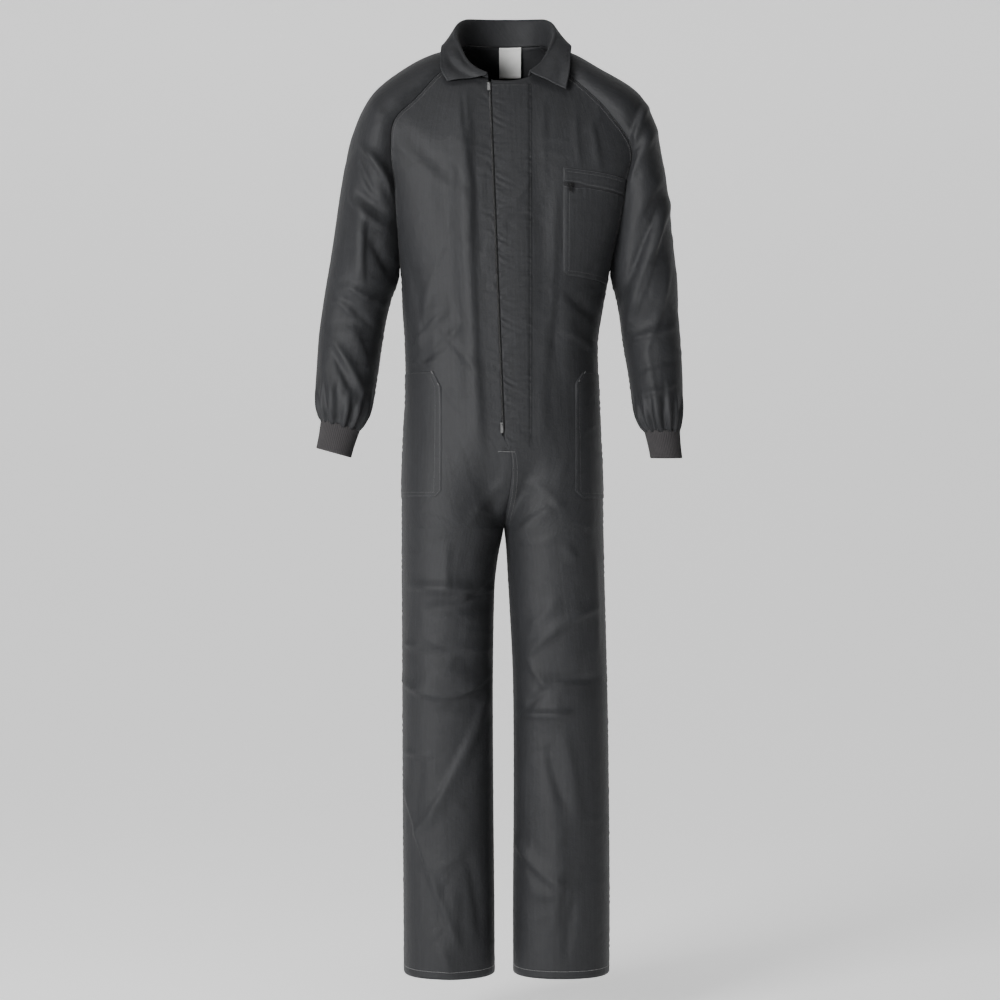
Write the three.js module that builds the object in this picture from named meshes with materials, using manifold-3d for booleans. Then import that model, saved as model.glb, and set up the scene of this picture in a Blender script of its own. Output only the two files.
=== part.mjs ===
// Boiler suit in cotton twill, filled out as if worn and hollow: raglan sleeves, shirt collar,
// a fly over a two-way zip, a chest pocket with a zip, two side pockets and knitted cuffs.
// Millimetres, +Z up. The front faces -Y and the wearer's left is on +X. The origin is the
// middle of the neck opening, level with the side of the neck.
import * as THREE from "three";
import { mergeVertices } from "three/addons/utils/BufferGeometryUtils.js";
import Module from "manifold-3d";

const wasm = await Module();
wasm.setup();

// Cloth walls and the clearances between pieces
const TWILL = 1.6;
const COLLAR_WALL = 2.2;
const PATCH_WALL = 1.2;
const LABEL_WALL = 1;
const SEAM_GAP = 0.3;
const PATCH_LIFT = 0.75;
const SLEEVE_GAP = 0.6;
const SLEEVE_ASIDE = 0.8;
const COLLAR_GAP = 0.9;
const COLLAR_IN = 0.4;
const KNIT_WALL = 2.4;

// Heights of the cut
const ARMPIT_Z = -372;
const HIP_Z = -640;
const CROTCH_Z = -803;
const HEM_Z = -1567;
const NECK_HALF_WIDTH = 78;
const NECK_HALF_DEPTH = 72;
const NECK_BACKWARD = -10;

// Angles round the neck, from the middle of the front, where the raglan seams start
const FRONT_RAGLAN = THREE.MathUtils.degToRad(65);
const BACK_RAGLAN = THREE.MathUtils.degToRad(130);

// How much squarer than an ellipse the sections are
const TRUNK_SQUARE = 0.1;
const LEG_SQUARE = 0.08;

// How much a leg's columns crowd to its outer seam, so that they run on from the trunk's
const LEG_COLUMN_SHIFT = 0.45;

// Rows and columns of the walls
const PANEL_COLUMNS = 10;
const YOKE_ROWS = 9;
const TRUNK_ROWS = 7;
const FORK_ROWS = 6;
const LEG_ROWS = 15;
const SLEEVE_COLUMNS = 24;
const ARM_ROWS = 12;

// Raglan seam of the front, from the neck to the armpit, on the wearer's left and right
const FRONT_SEAM = {
  left: table("at x y z", [
    [0, 70.7, -40.4, -4.6],
    [0.11, 107, -64, -33],
    [0.22, 142, -77, -64],
    [0.34, 176, -85, -101],
    [0.5, 214, -80, -160],
    [0.63, 206, -74, -216],
    [0.78, 196, -58, -280],
    [0.95, 181, -21, -352],
    [1, 178, 0, ARMPIT_Z],
  ]),
  right: table("at x y z", [
    [0, 70.7, -40.4, -4.6],
    [0.11, 109, -64, -28],
    [0.24, 149, -78, -73],
    [0.37, 187, -86, -114],
    [0.5, 193, -81, -166],
    [0.62, 188, -73, -218],
    [0.78, 184, -56, -287],
    [0.95, 180, -21, -353],
    [1, 178, 0, ARMPIT_Z],
  ]),
};

// Raglan seam of the back, alike on both sides
const BACK_SEAM = table("at x y z", [
  [0, 59.7, 36.3, 33.7],
  [0.12, 96, 62, 4],
  [0.25, 134, 80, -36],
  [0.38, 168, 92, -84],
  [0.5, 192, 96, -136],
  [0.64, 196, 88, -200],
  [0.8, 188, 62, -280],
  [0.95, 180, 22, -352],
  [1, 178, 0, ARMPIT_Z],
]);

// Top line of the shoulder over the seams, and how far round its ring the sleeve opens to
// each seam there, in degrees from that line
const SHOULDER = table("at left right z opening", [
  [0, 77, 77, 21, 50],
  [0.12, 116, 120, 15, 96],
  [0.25, 160, 170, -9, 106],
  [0.375, 225, 222, -50, 112],
  [0.5, 254, 254, -101, 115],
  [0.63, 267, 270, -150, 121],
  [0.78, 280, 284, -225, 138],
  [0.95, 290, 297, -318, 165],
  [1, 294, 302, -352, 180],
]);
const ARMPIT_HALF_DEPTH = 80;

// Sleeve below the armpit: underarm and outer edge, half depth, how far forward it hangs, and
// how much the outer edge stands above the middle of its ring
const ARM = {
  left: table("z inner outer depth y lift", [
    [-362, 178, 294, 80, 0, 10],
    [-380, 187, 297, 78, 1, 9],
    [-427, 197, 299, 70, 4, 7],
    [-479, 203.5, 302, 65, 3, 6],
    [-531, 212, 305, 61, -5, 5],
    [-583, 219, 305.5, 58, -14, 4],
    [-610, 224.5, 303, 52, -19, 2],
    [-628, 232.5, 300, 41, -22, 1],
    [-638.5, 239.7, 299, 32, -24, 0],
  ]),
  right: table("z inner outer depth y lift", [
    [-362, 178, 302, 80, 0, 10],
    [-380, 189, 306, 78, 1, 9],
    [-427, 203, 314, 70, 4, 8],
    [-479, 212, 321, 65, 3, 8],
    [-531, 219, 324, 61, -5, 8],
    [-575, 226, 326, 58, -14, 9],
    [-600, 232, 324, 53, -19, 9],
    [-618, 242, 319, 42, -22, 9],
    [-628.5, 250, 315, 33, -24, 9],
  ]),
};

// Knitted cuffs: the way from the sleeve's end down to the open end
const CUFF_WAY = { left: [7, -4, -45], right: [-11, -4, -46] };
const CUFF_CLEAR = 0.01;
const CUFF_RIBS = 24;
const CUFF_ROWS = 3;
const CUFF_TAPER = 0.9;
const RIB_RISE = 0.7;

// Gathers of the sleeve into its cuff: one fold for every second column
const GATHER_FROM = 0.84;
const GATHER_RISE = 2.2;
const GATHER_FALL = 0.72;

// Middle of the front and of the back over the shoulders, by height
const FRONT_LINE = table("z y", [
  [-46, -82],
  [-80, -97],
  [-130, -111],
  [-200, -123],
  [-300, -130],
  [-372, -130],
]);
const BACK_LINE = table("z y", [
  [36, 62],
  [0, 77],
  [-60, 99],
  [-130, 115],
  [-200, 123],
  [-300, 126],
  [-372, 122],
]);

// How far round its section a panel reaches at the raglan seam, in degrees
const FRONT_REACH = table("at angle", [
  [0, 65],
  [0.3, 58],
  [0.55, 62],
  [0.8, 74],
  [1, 90],
]);
const BACK_REACH = table("at angle", [
  [0, 50],
  [0.3, 56],
  [0.55, 62],
  [0.8, 74],
  [1, 90],
]);

// Trunk below the armpit: its side seams and its depths
const TRUNK = table("z left right front back", [
  [-372, 178, 178, 130, 122],
  [-427, 168, 176, 129, 117],
  [-479, 160, 172.5, 127, 113],
  [-531, 160, 171, 125, 111],
  [-583, 162, 171, 125, 114],
  [-634, 164, 174, 126, 122],
  [-686, 166, 176, 126, 129],
  [-738, 167, 177.5, 124, 132],
  [-803, 169, 177.5, 120, 128],
]);

// Seam or zip line down the middle of the front
const FRONT_MIDDLE = table("z x", [
  [-46, -26],
  [-330, -15],
  [-560, -6],
  [-630, -3.2],
  [-645, -2.6],
  [-682, 11],
  [-740, 11],
  [-803, -2],
]);

// Legs: inner and outer edge, depths, and how far back the middle lies
const LEG = {
  left: table("z inner outer front back y", [
    [-803, -2, 169, 118, 122, 0],
    [-816, 0, 169.5, 117, 119, 0],
    [-841, 2, 170, 115, 115, 0],
    [-893, 5, 171, 111, 109, 0],
    [-945, 8, 172.5, 107, 105, 0],
    [-1048, 13, 175, 99, 99, -3],
    [-1150, 14.5, 177, 92, 95, -5],
    [-1300, 14.5, 179, 87, 91, 0],
    [-1450, 13.5, 180, 84, 87, 4],
    [-1567, 14, 179.5, 80, 84, 6],
  ]),
  right: table("z inner outer front back y", [
    [-803, 2, 177.5, 118, 122, 0],
    [-816, 4, 177.5, 117, 119, 0],
    [-841, 10, 177.5, 115, 115, 0],
    [-893, 17, 177.5, 111, 109, 0],
    [-945, 19, 177, 107, 105, 0],
    [-1048, 20.5, 176.5, 99, 99, -3],
    [-1150, 20.5, 176, 92, 95, -5],
    [-1300, 19.5, 175.5, 88, 91, 0],
    [-1450, 18, 174.5, 86, 87, 4],
    [-1567, 17.5, 174, 84, 84, 6],
  ]),
};

// Largest folds, as seen square on: where they run in x and z, how far their middle bows
// aside, half their breadth, and their rise, which is negative in a trough
const FRONT_FOLDS = table("x z toX toZ bow breadth rise", [
  [-70, -80, -50, -660, 6, 20, 5],
  [-98, -190, -72, -600, 0, 22, -4],
  [60, -190, 70, -560, -6, 24, -5],
  [105, -400, 112, -560, 0, 20, 4],
  [-168, -505, -125, -520, 0, 14, -4],
  [-160, -470, -100, -420, 0, 18, 4],
  [-150, -905, -45, -920, -8, 16, 5],
  [-60, -905, -28, -935, 0, 14, -6],
  [-165, -1085, -40, -1070, -22, 20, 5],
  [-170, -1010, -45, -1008, 6, 18, -4],
  [-165, -1270, -90, -1500, 12, 24, -6],
  [-130, -1400, -85, -1570, 0, 22, 5],
  [60, -1050, 165, -1065, 0, 26, -5],
  [30, -1125, 105, -1118, 0, 14, 4],
  [72, -1240, 95, -1430, 0, 22, 5],
  [30, -1410, 92, -1425, 0, 20, 4],
]);
const BACK_FOLDS = table("x z toX toZ bow breadth rise", [
  [-60, -120, -75, -560, 8, 24, 4],
  [65, -150, 72, -540, -8, 24, 5],
  [-120, -500, 110, -515, 14, 20, 4],
  [-105, -560, 120, -575, -16, 22, -4],
  [-150, -850, -40, -830, 10, 20, 5],
  [45, -835, 155, -855, 10, 20, 5],
  [-160, -1090, -40, -1110, 16, 22, 5],
  [40, -1100, 160, -1080, 16, 22, 5],
  [-130, -1250, -70, -1480, -10, 24, -5],
  [90, -1230, 120, -1490, 10, 24, -5],
]);
const SLEEVE_FOLDS = {
  left: table("x z toX toZ bow breadth rise", [
    [236, -70, 214, -130, 4, 12, -5],
    [272, -215, 222, -385, 14, 15, -7],
    [292, -260, 232, -330, -8, 15, 6],
    [210, -420, 290, -395, 6, 15, 5],
    [214, -470, 296, -450, -8, 16, -5],
  ]),
  right: table("x z toX toZ bow breadth rise", [
    [-215, -45, -200, -100, 0, 12, -4],
    [-240, -165, -196, -220, 0, 14, 6],
    [-262, -240, -208, -290, -6, 16, -6],
    [-250, -265, -244, -355, 0, 14, 6],
    [-284, -390, -222, -408, 6, 16, 5],
    [-300, -450, -222, -470, -8, 16, -5],
  ]),
};

// Zip: its slot between the fronts, the tape and the chain that fills the slot
const ZIP_SLOT = 5;
const ZIP_TOP_Z = -50;
const ZIP_END_Z = -640;
const ZIP_TAPE_WIDTH = 26;
const ZIP_TAPE_WALL = 0.8;
const CHAIN_WIDTH = 3.6;
const CHAIN_FOOT = 0.1;
const TAPE_GAP = 1.2;
const ZIP_ROWS = 20;

// Fly: sewn on the wearer's left front, it reaches over the zip's slot
const FLY_EDGE = 1.2;
const FLY_FOOT_X = -2.8;
const FLY_SEWN_X = 47;
const FLY_TOP_Z = -51;
const FLY_END_Z = -668;
const FLY_ROWS = 22;

// Zip sliders: a body on the chain with an arch, and the pull tab that turns in the arch
const SLIDER_LENGTH = 9;
const SLIDER_WIDTH = 5;
const SLIDER_TAPER = 0.65;
const SLIDER_DEPTH = 3.2;
const SLIDER_LIFT = 0.3;
const SLIDER_ASIDE = -2;
const ARCH_RADIUS = 2;
const ARCH_HOLE = 1.15;
const ARCH_WIDTH = 1.6;
const ARCH_AXIS = -(SLIDER_DEPTH + 1.6);
const PULL_LENGTH = 13;
const PULL_HALF_WIDTH = 2.2;
const PULL_WALL = 0.9;
const PULL_EYE_END = 2.5;
const PULL_EYE_HALF_WIDTH = 1.15;
const ROUND_SEGMENTS = 6;
const SLIDER_Z = { upper: -55, lower: -630 };
const CHEST_SLIDER_IN = 12;

// Chest pocket on the wearer's left front, with a band above its zip
const CHEST_POCKET = {
  inner: 97,
  width: 105,
  innerTop: -197,
  slope: -15,
  depth: 181,
  footSlope: -9,
  corner: 8,
};
const CHEST_POCKET_END = 0.97;
const CHEST_POCKET_NARROWING = 0.07;
const CHEST_TAPE_WALL = 0.7;
const CHEST_BAND = 24;
const CHEST_ZIP_GAP = 7;

// Side pockets, from their front edge to the side seam
const SIDE_POCKET = {
  left: { frontX: 118, top: -538, mouth: 20, mouthX: 131, foot: -752, cut: 12 },
  right: { frontX: -107, top: -538, mouth: 27, mouthX: -121, foot: -750, cut: 10 },
};
const SIDE_POCKET_END = 0.985;
const SIDE_POCKET_LIFT = 1.15;

// Collar: rise of its roll over the neck seam, and where its outer edge lies, by the angle
// round the neck from the middle of the front
const ROLL = 3.2;
const COLLAR = {
  left: table("angle lean rise x y z", [
    [29, 2, 5, 103, -90, -62],
    [45, 3, 10, 109, -83, -32],
    [65, 5, 21, 111, -62, -5],
    [90, 5, 32, 112, -22, 24],
    [130, 5, 43, 90, 62, 32],
    [180, 7, 46, 0, 88, 32],
  ]),
  right: table("angle lean rise x y z", [
    [20, 2, 5, 98, -82, -47],
    [45, 3, 10, 109, -76, -26],
    [65, 5, 21, 110, -60, -4],
    [90, 5, 30, 107, -22, 24],
    [130, 5, 43, 90, 62, 32],
    [180, 7, 46, 0, 88, 32],
  ]),
};

// Blank label that hangs inside the back of the neck
const LABEL_X = 9;
const LABEL_WIDTH = 38;
const LABEL_LENGTH = 50;
const LABEL_IN = 2.4;
const LABEL_BEND = 0.006;

// Named columns for the rows of a table
function table(columns, rows) {
  const names = columns.split(" ");
  return rows.map((row) => Object.fromEntries(names.map((name, i) => [name, row[i]])));
}

// A column's value at a place between the rows, on a smooth curve through them
function between(rows, by, at, column) {
  const last = rows.length - 1;
  const rising = rows[last][by] > rows[0][by] ? 1 : -1;
  let i = 0;
  while (i < last - 1 && (at - rows[i + 1][by]) * rising > 0) i++;
  const slope = (k) => {
    const before = rows[Math.max(k - 1, 0)];
    const after = rows[Math.min(k + 1, last)];
    return (after[column] - before[column]) / (after[by] - before[by]);
  };
  const [low, high] = [rows[i], rows[i + 1]];
  const step = high[by] - low[by];
  const s = THREE.MathUtils.clamp((at - low[by]) / step, 0, 1);
  const rest = 1 - s;
  return (
    low[column] * (1 + 2 * s) * rest * rest +
    high[column] * s * s * (3 - 2 * s) +
    slope(i) * step * s * rest * rest -
    slope(i + 1) * step * s * s * rest
  );
}

const sideSign = (side) => (side === "left" ? 1 : -1);
const across = (angle, square) => Math.sin(angle) * (1 + square * Math.cos(angle) ** 2);
const outward = (angle, square) => Math.cos(angle) * (1 + square * Math.sin(angle) ** 2);
const vector = (x, y, z) => new THREE.Vector3(x, y, z);

// Rise of all folds of a table at a place seen square on
function foldRise(folds, x, z) {
  let rise = 0;
  for (const fold of folds) {
    const alongX = fold.toX - fold.x;
    const alongZ = fold.toZ - fold.z;
    const length = Math.hypot(alongX, alongZ);
    const s = ((x - fold.x) * alongX + (z - fold.z) * alongZ) / length / length;
    if (s < -0.2 || s > 1.2) continue;
    const middle = 1 - (2 * s - 1) ** 2;
    const away = ((x - fold.x) * alongZ - (z - fold.z) * alongX) / length - fold.bow * middle;
    const ends = THREE.MathUtils.smoothstep(Math.min(s, 1 - s), -0.2, 0.25);
    rise += fold.rise * ends * Math.exp(-((away / fold.breadth) ** 2));
  }
  return rise;
}

// Raglan seam points: the front's and the back's, and the shoulder line between them
function seamPoint(face, side, at) {
  const rows = face === "front" ? FRONT_SEAM[side] : BACK_SEAM;
  const x = between(rows, "at", at, "x") * sideSign(side);
  return vector(x, between(rows, "at", at, "y"), between(rows, "at", at, "z"));
}

// Middle line of a face over the shoulders: its height and depth
function middleLine(face, at) {
  const rows = face === "front" ? FRONT_LINE : BACK_LINE;
  const z = rows[0].z + (ARMPIT_Z - rows[0].z) * at;
  return { z, y: between(rows, "z", z, "y") };
}

// A face of the yoke, from the neck at 0 to the armpit at 1: an arc from the middle of the
// body to its raglan seam. The share runs from the middle, at the zip or back seam, to the seam.
function yokePoint(face, side, share, at, aside) {
  const reachRows = face === "front" ? FRONT_REACH : BACK_REACH;
  const reach = THREE.MathUtils.degToRad(between(reachRows, "at", at, "angle"));
  const line = middleLine(face, at);
  const middleX = face === "front" ? between(FRONT_MIDDLE, "z", line.z, "x") : 0;
  const edges = { left: seamPoint(face, "left", at), right: seamPoint(face, "right", at) };
  const start = angleOf(middleX + aside * sideSign(side), edges, reach);
  const angle = start + (reach * sideSign(side) - start) * share;
  const edge = angle < 0 ? edges.right : edges.left;
  const depth = (edge.y - line.y) / (1 - outward(reach, TRUNK_SQUARE));
  const x = (Math.abs(edge.x) * across(angle, TRUNK_SQUARE)) / across(reach, TRUNK_SQUARE);
  const y = line.y + depth * (1 - outward(angle, TRUNK_SQUARE));
  const z = line.z + (edge.z - line.z) * (angle / reach) ** 2;
  return vector(x, y, z);
}

// Angle round a section at which it lies at x
function angleOf(x, edges, reach) {
  const edge = Math.abs(x < 0 ? edges.right.x : edges.left.x);
  const sine = (x / edge) * across(reach, TRUNK_SQUARE);
  let angle = Math.asin(THREE.MathUtils.clamp(sine, -1, 1));
  for (let i = 0; i < 4; i++) angle *= sine / across(angle, TRUNK_SQUARE) || 1;
  return angle;
}

// A face of the trunk below the armpit, as half of a squarish oval
function trunkPoint(face, side, share, z, aside) {
  const quarter = Math.PI / 2;
  const edges = {};
  for (const name of ["left", "right"])
    edges[name] = { x: between(TRUNK, "z", z, name) * sideSign(name) };
  const middleX = face === "front" ? between(FRONT_MIDDLE, "z", z, "x") : -2 * fork(z);
  const start = angleOf(middleX + aside * sideSign(side), edges, quarter);
  const angle = start + (quarter * sideSign(side) - start) * share;
  const edge = angle < 0 ? edges.right : edges.left;
  const x = Math.abs(edge.x) * across(angle, TRUNK_SQUARE);
  const y = between(TRUNK, "z", z, face) * outward(angle, TRUNK_SQUARE);
  return vector(x, face === "front" ? -y : y, z);
}

// Share of the way from the hips down to the crotch
function fork(z) {
  return THREE.MathUtils.clamp((z - HIP_Z) / (CROTCH_Z - HIP_Z), 0, 1);
}

// A face of a leg, from its inseam at 0 to its outer seam at 1
function legPoint(face, side, share, z) {
  const rows = LEG[side];
  const at = Math.min(z, CROTCH_Z);
  const [inner, outer] = [between(rows, "z", at, "inner"), between(rows, "z", at, "outer")];
  const angle = (share * (1 + LEG_COLUMN_SHIFT * (1 - share)) - 0.5) * Math.PI;
  const x = (inner + outer) / 2 + ((outer - inner) / 2) * across(angle, LEG_SQUARE);
  const depth = between(rows, "z", at, face) * outward(angle, LEG_SQUARE);
  const y = between(rows, "z", at, "y") + (face === "front" ? -depth : depth);
  return vector(x * sideSign(side), y, z);
}

// Half the slot that the zip needs between the fronts
function slotAt(z) {
  const open = 1 - THREE.MathUtils.smoothstep(-z, -ZIP_END_Z + 4, -ZIP_END_Z + 18);
  return (ZIP_SLOT / 2) * open;
}

// A body panel at a share across it and a level down it. Levels 0 to 1 are the yoke, to 2 the
// trunk, to 3 the fork, where the trunk's half turns into a leg, and to 4 the leg.
function panelPoint(face, side, share, level) {
  let point;
  const slotOf = (z) => (face === "front" ? slotAt(z) : 0);
  if (level <= 1) {
    const z = middleLine(face, level).z;
    point = yokePoint(face, side, share, level, slotOf(z));
  } else if (level <= 2) {
    const z = ARMPIT_Z + (HIP_Z - ARMPIT_Z) * (level - 1);
    point = trunkPoint(face, side, share, z, slotOf(z));
  } else if (level <= 3) {
    const turn = ((level - 2) * Math.PI) / 2;
    const z = HIP_Z + (CROTCH_Z - HIP_Z) * Math.sin(turn);
    const trunk = trunkPoint(face, side, share, z, slotOf(z));
    const aside = THREE.MathUtils.smoothstep(share, 0, 0.6);
    const eased = THREE.MathUtils.smoothstep(Math.sin(turn), 0, 1);
    const blend = THREE.MathUtils.lerp(1 - Math.cos(turn), eased, aside);
    point = trunk.lerp(legPoint(face, side, share, z), blend);
  } else {
    point = legPoint(face, side, share, CROTCH_Z + (HEM_Z - CROTCH_Z) * (level - 3));
  }
  const folds = face === "front" ? FRONT_FOLDS : BACK_FOLDS;
  const nearSeam = THREE.MathUtils.smoothstep(1 - share, 0, 0.18);
  const nearInseam = level < 2.6 ? 1 : THREE.MathUtils.smoothstep(share, 0, 0.2);
  const rise = foldRise(folds, point.x, point.z) * nearSeam * nearInseam;
  point.y += face === "front" ? -rise : rise;
  return point;
}

// A sleeve at a share round it, from its front seam to its back seam, and a level down it.
// Levels 0 to 1 lie between the raglan seams, and on to 2 the arm is a closed ring.
function sleevePoint(side, share, level) {
  const sign = sideSign(side);
  let inner, outer, deep, opening;
  if (level <= 1) {
    const front = seamPoint("front", side, level);
    const back = seamPoint("back", side, level);
    inner = front.clone().add(back).multiplyScalar(0.5);
    const outerX = between(SHOULDER, "at", level, side) * sign;
    outer = vector(outerX, 0, between(SHOULDER, "at", level, "z"));
    opening = THREE.MathUtils.degToRad(between(SHOULDER, "at", level, "opening"));
    deep = front.sub(inner).divideScalar(Math.max(Math.sin(opening), 1e-6));
    if (level > 0.999) deep = vector(0, -ARMPIT_HALF_DEPTH, 0);
  } else {
    const rows = ARM[side];
    const z = rows[0].z + (rows[rows.length - 1].z - rows[0].z) * (level - 1);
    const [y, lift] = [between(rows, "z", z, "y"), between(rows, "z", z, "lift")];
    inner = vector(between(rows, "z", z, "inner") * sign, y, z - lift);
    outer = vector(between(rows, "z", z, "outer") * sign, y, z + lift);
    deep = vector(0, -between(rows, "z", z, "depth"), 0);
    opening = Math.PI;
  }
  const angle = opening * (1 - 2 * share);
  const reach = (Math.cos(angle) - Math.cos(opening)) / (1 - Math.cos(opening));
  const point = inner.clone().lerp(outer, reach).addScaledVector(deep, Math.sin(angle));
  const awayFromSeams = THREE.MathUtils.smoothstep(Math.min(share, 1 - share), 0, 0.08);
  const facing = Math.abs(Math.sin(angle)) * awayFromSeams;
  const rise = foldRise(SLEEVE_FOLDS[side], point.x, point.z) * facing;
  point.y += share < 0.5 ? -rise : rise * 0.8;
  return point;
}

// Grid of points over a surface: rows of shares for each level
function gridOf(levels, shares, pointAt) {
  return levels.map((level) => shares.map((share) => pointAt(share, level)));
}

function evenly(from, to, steps) {
  return Array.from({ length: steps + 1 }, (_, i) => from + ((to - from) * i) / steps);
}

// Unit normals of a grid's points, added up in a map by place, so that pieces that share a
// seam share its normals
function addNormals(grid, flip, found) {
  for (let r = 0; r + 1 < grid.length; r++) {
    for (let c = 0; c + 1 < grid[r].length; c++) {
      const corners = [grid[r][c], grid[r][c + 1], grid[r + 1][c + 1], grid[r + 1][c]];
      const one = corners[2].clone().sub(corners[0]);
      const other = corners[3].clone().sub(corners[1]);
      const normal = one.cross(other).multiplyScalar(flip ? -1 : 1);
      for (const corner of corners) {
        const key = placeOf(corner);
        found.set(key, (found.get(key) || vector(0, 0, 0)).add(normal));
      }
    }
  }
}

function placeOf(point) {
  return point.toArray().map((v) => Math.round(v * 50) + 0).join();
}

// Grid with each edge that is sewn to a neighbour moved in by half the seam's gap
function insetGrid(grid, sewn, gap) {
  const rows = grid.length;
  const columns = grid[0].length;
  const moved = grid.map((row) => row.map((point) => point.clone()));
  const draw = (r, c, toR, toC) => {
    const way = grid[toR][toC].clone().sub(grid[r][c]);
    moved[r][c].addScaledVector(way.normalize(), gap / 2);
  };
  for (let r = 0; r < rows; r++) {
    if (sewn.includes("start")) draw(r, 0, r, 1);
    if (sewn.includes("end")) draw(r, columns - 1, r, columns - 2);
  }
  for (let c = 0; c < columns; c++) {
    if (sewn.includes("foot")) draw(rows - 1, c, rows - 2, c);
  }
  return moved;
}

// Closed wall between two grids of the same size, the outer one first
function wallBetween(outer, inner, flip, closed) {
  const rows = outer.length;
  const columns = outer[0].length;
  const positions = [...outer.flat(), ...inner.flat()].flatMap((point) => point.toArray());
  const faces = [];
  const quad = (a, b, c, d) => faces.push(...(flip ? [a, c, b, a, d, c] : [a, b, c, a, c, d]));
  const at = (r, c) => r * columns + (closed ? c % columns : c);
  const under = rows * columns;
  const across = closed ? columns : columns - 1;
  for (let r = 0; r + 1 < rows; r++) {
    for (let c = 0; c < across; c++) {
      const corners = [at(r, c), at(r, c + 1), at(r + 1, c + 1), at(r + 1, c)];
      quad(...corners);
      quad(...corners.map((corner) => corner + under).reverse());
    }
    if (closed) continue;
    quad(at(r, 0), at(r + 1, 0), at(r + 1, 0) + under, at(r, 0) + under);
    const end = columns - 1;
    quad(at(r + 1, end), at(r, end), at(r, end) + under, at(r + 1, end) + under);
  }
  for (let c = 0; c < across; c++) {
    quad(at(0, c + 1), at(0, c), at(0, c) + under, at(0, c + 1) + under);
    const foot = rows - 1;
    quad(at(foot, c), at(foot, c + 1), at(foot, c + 1) + under, at(foot, c) + under);
  }
  const geometry = new THREE.BufferGeometry();
  geometry.setAttribute("position", new THREE.Float32BufferAttribute(positions, 3));
  geometry.setIndex(faces);
  return geometry;
}

// Grid moved along its normals
function movedOut(grid, normals, distance) {
  return grid.map((row, r) =>
    row.map((point, c) => point.clone().addScaledVector(normals[r][c], distance)),
  );
}

// Normals of one grid alone
function ownNormals(grid, flip) {
  const found = new Map();
  addNormals(grid, flip, found);
  return grid.map((row) => row.map((point) => found.get(placeOf(point)).clone().normalize()));
}

const group = new THREE.Group();
const TWILL_FINISH = { color: 0x3a3c3e, roughness: 0.72, metalness: 0 };
const KNIT_FINISH = { color: 0x4d4745, roughness: 0.9, metalness: 0 };
const METAL_FINISH = { color: 0xb9bcc0, roughness: 0.35, metalness: 1 };
const TAPE_FINISH = { color: 0x242527, roughness: 0.8, metalness: 0 };
const LABEL_FINISH = { color: 0xf1f1ef, roughness: 0.6, metalness: 0 };

function addPiece(name, geometry, finish) {
  const mesh = new THREE.Mesh(geometry, new THREE.MeshStandardMaterial(finish));
  mesh.name = name;
  group.add(mesh);
  return mesh;
}

// Levels of the rows of a body panel, and the grids of the front panels
const bodyLevels = [
  ...evenly(0, 1, YOKE_ROWS),
  ...evenly(1, 2, TRUNK_ROWS).slice(1),
  ...evenly(2, 3, FORK_ROWS).slice(1),
  ...evenly(3, 4, LEG_ROWS).slice(1),
];
const frontGrids = {};

// Body panels and sleeves, walled together so that their seams match
function addBody() {
  const shares = evenly(0, 1, PANEL_COLUMNS);
  const sleeveLevels = [...evenly(0, 1, YOKE_ROWS), ...evenly(1, 2, ARM_ROWS).slice(1)];
  const sleeveShares = evenly(0, 1, SLEEVE_COLUMNS);
  const pieces = [];
  for (const side of ["left", "right"]) {
    for (const face of ["front", "back"]) {
      const grid = gridOf(bodyLevels, shares, (share, level) =>
        panelPoint(face, side, share, level),
      );
      const flip = (face === "front") === (side === "left");
      const name = `${face}_${side}`;
      pieces.push({ name, face, side, grid, flip, sewn: ["start", "end"], gap: SEAM_GAP });
    }
    const grid = gridOf(sleeveLevels, sleeveShares, (share, level) =>
      gathered(side, share, level),
    );
    pieces.push({
      name: `sleeve_${side}`,
      face: "sleeve",
      side,
      grid,
      flip: side === "left",
      sewn: ["start", "end", "foot"],
      gap: SLEEVE_GAP,
    });
  }
  const found = new Map();
  for (const piece of pieces) addNormals(piece.grid, piece.flip, found);
  for (const { name, face, side, grid, flip, sewn, gap } of pieces) {
    const normals = grid.map((row) =>
      row.map((point) => found.get(placeOf(point)).clone().normalize()),
    );
    if (face === "front") frontGrids[side] = { grid, normals };
    const outer = insetGrid(grid, sewn, gap);
    const ends = face === "sleeve" ? outer.flatMap((row) => [row[0], row[SLEEVE_COLUMNS]]) : [];
    for (const point of ends) point.x += SLEEVE_ASIDE * sideSign(side);
    const geometry = wallBetween(outer, movedOut(outer, normals, -TWILL), flip, false);
    addPiece(name, geometry, TWILL_FINISH);
  }
}

// Sleeve with its gathers: every second column stands out near the cuff
function gathered(side, share, level) {
  const point = sleevePoint(side, share, level);
  const start = 1 + GATHER_FROM;
  if (level <= start) return point;
  const column = Math.round(share * SLEEVE_COLUMNS);
  if (column === 0 || column === SLEEVE_COLUMNS) return point;
  const middle = sleevePoint(side, 0, level).lerp(sleevePoint(side, 0.5, level), 0.5);
  const way = point.clone().sub(middle).normalize();
  const near = Math.sin(((level - start) / (2 - start)) * Math.PI * GATHER_FALL);
  return point.addScaledVector(way, (column % 2 ? -1 : 1) * GATHER_RISE * near);
}

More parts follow.
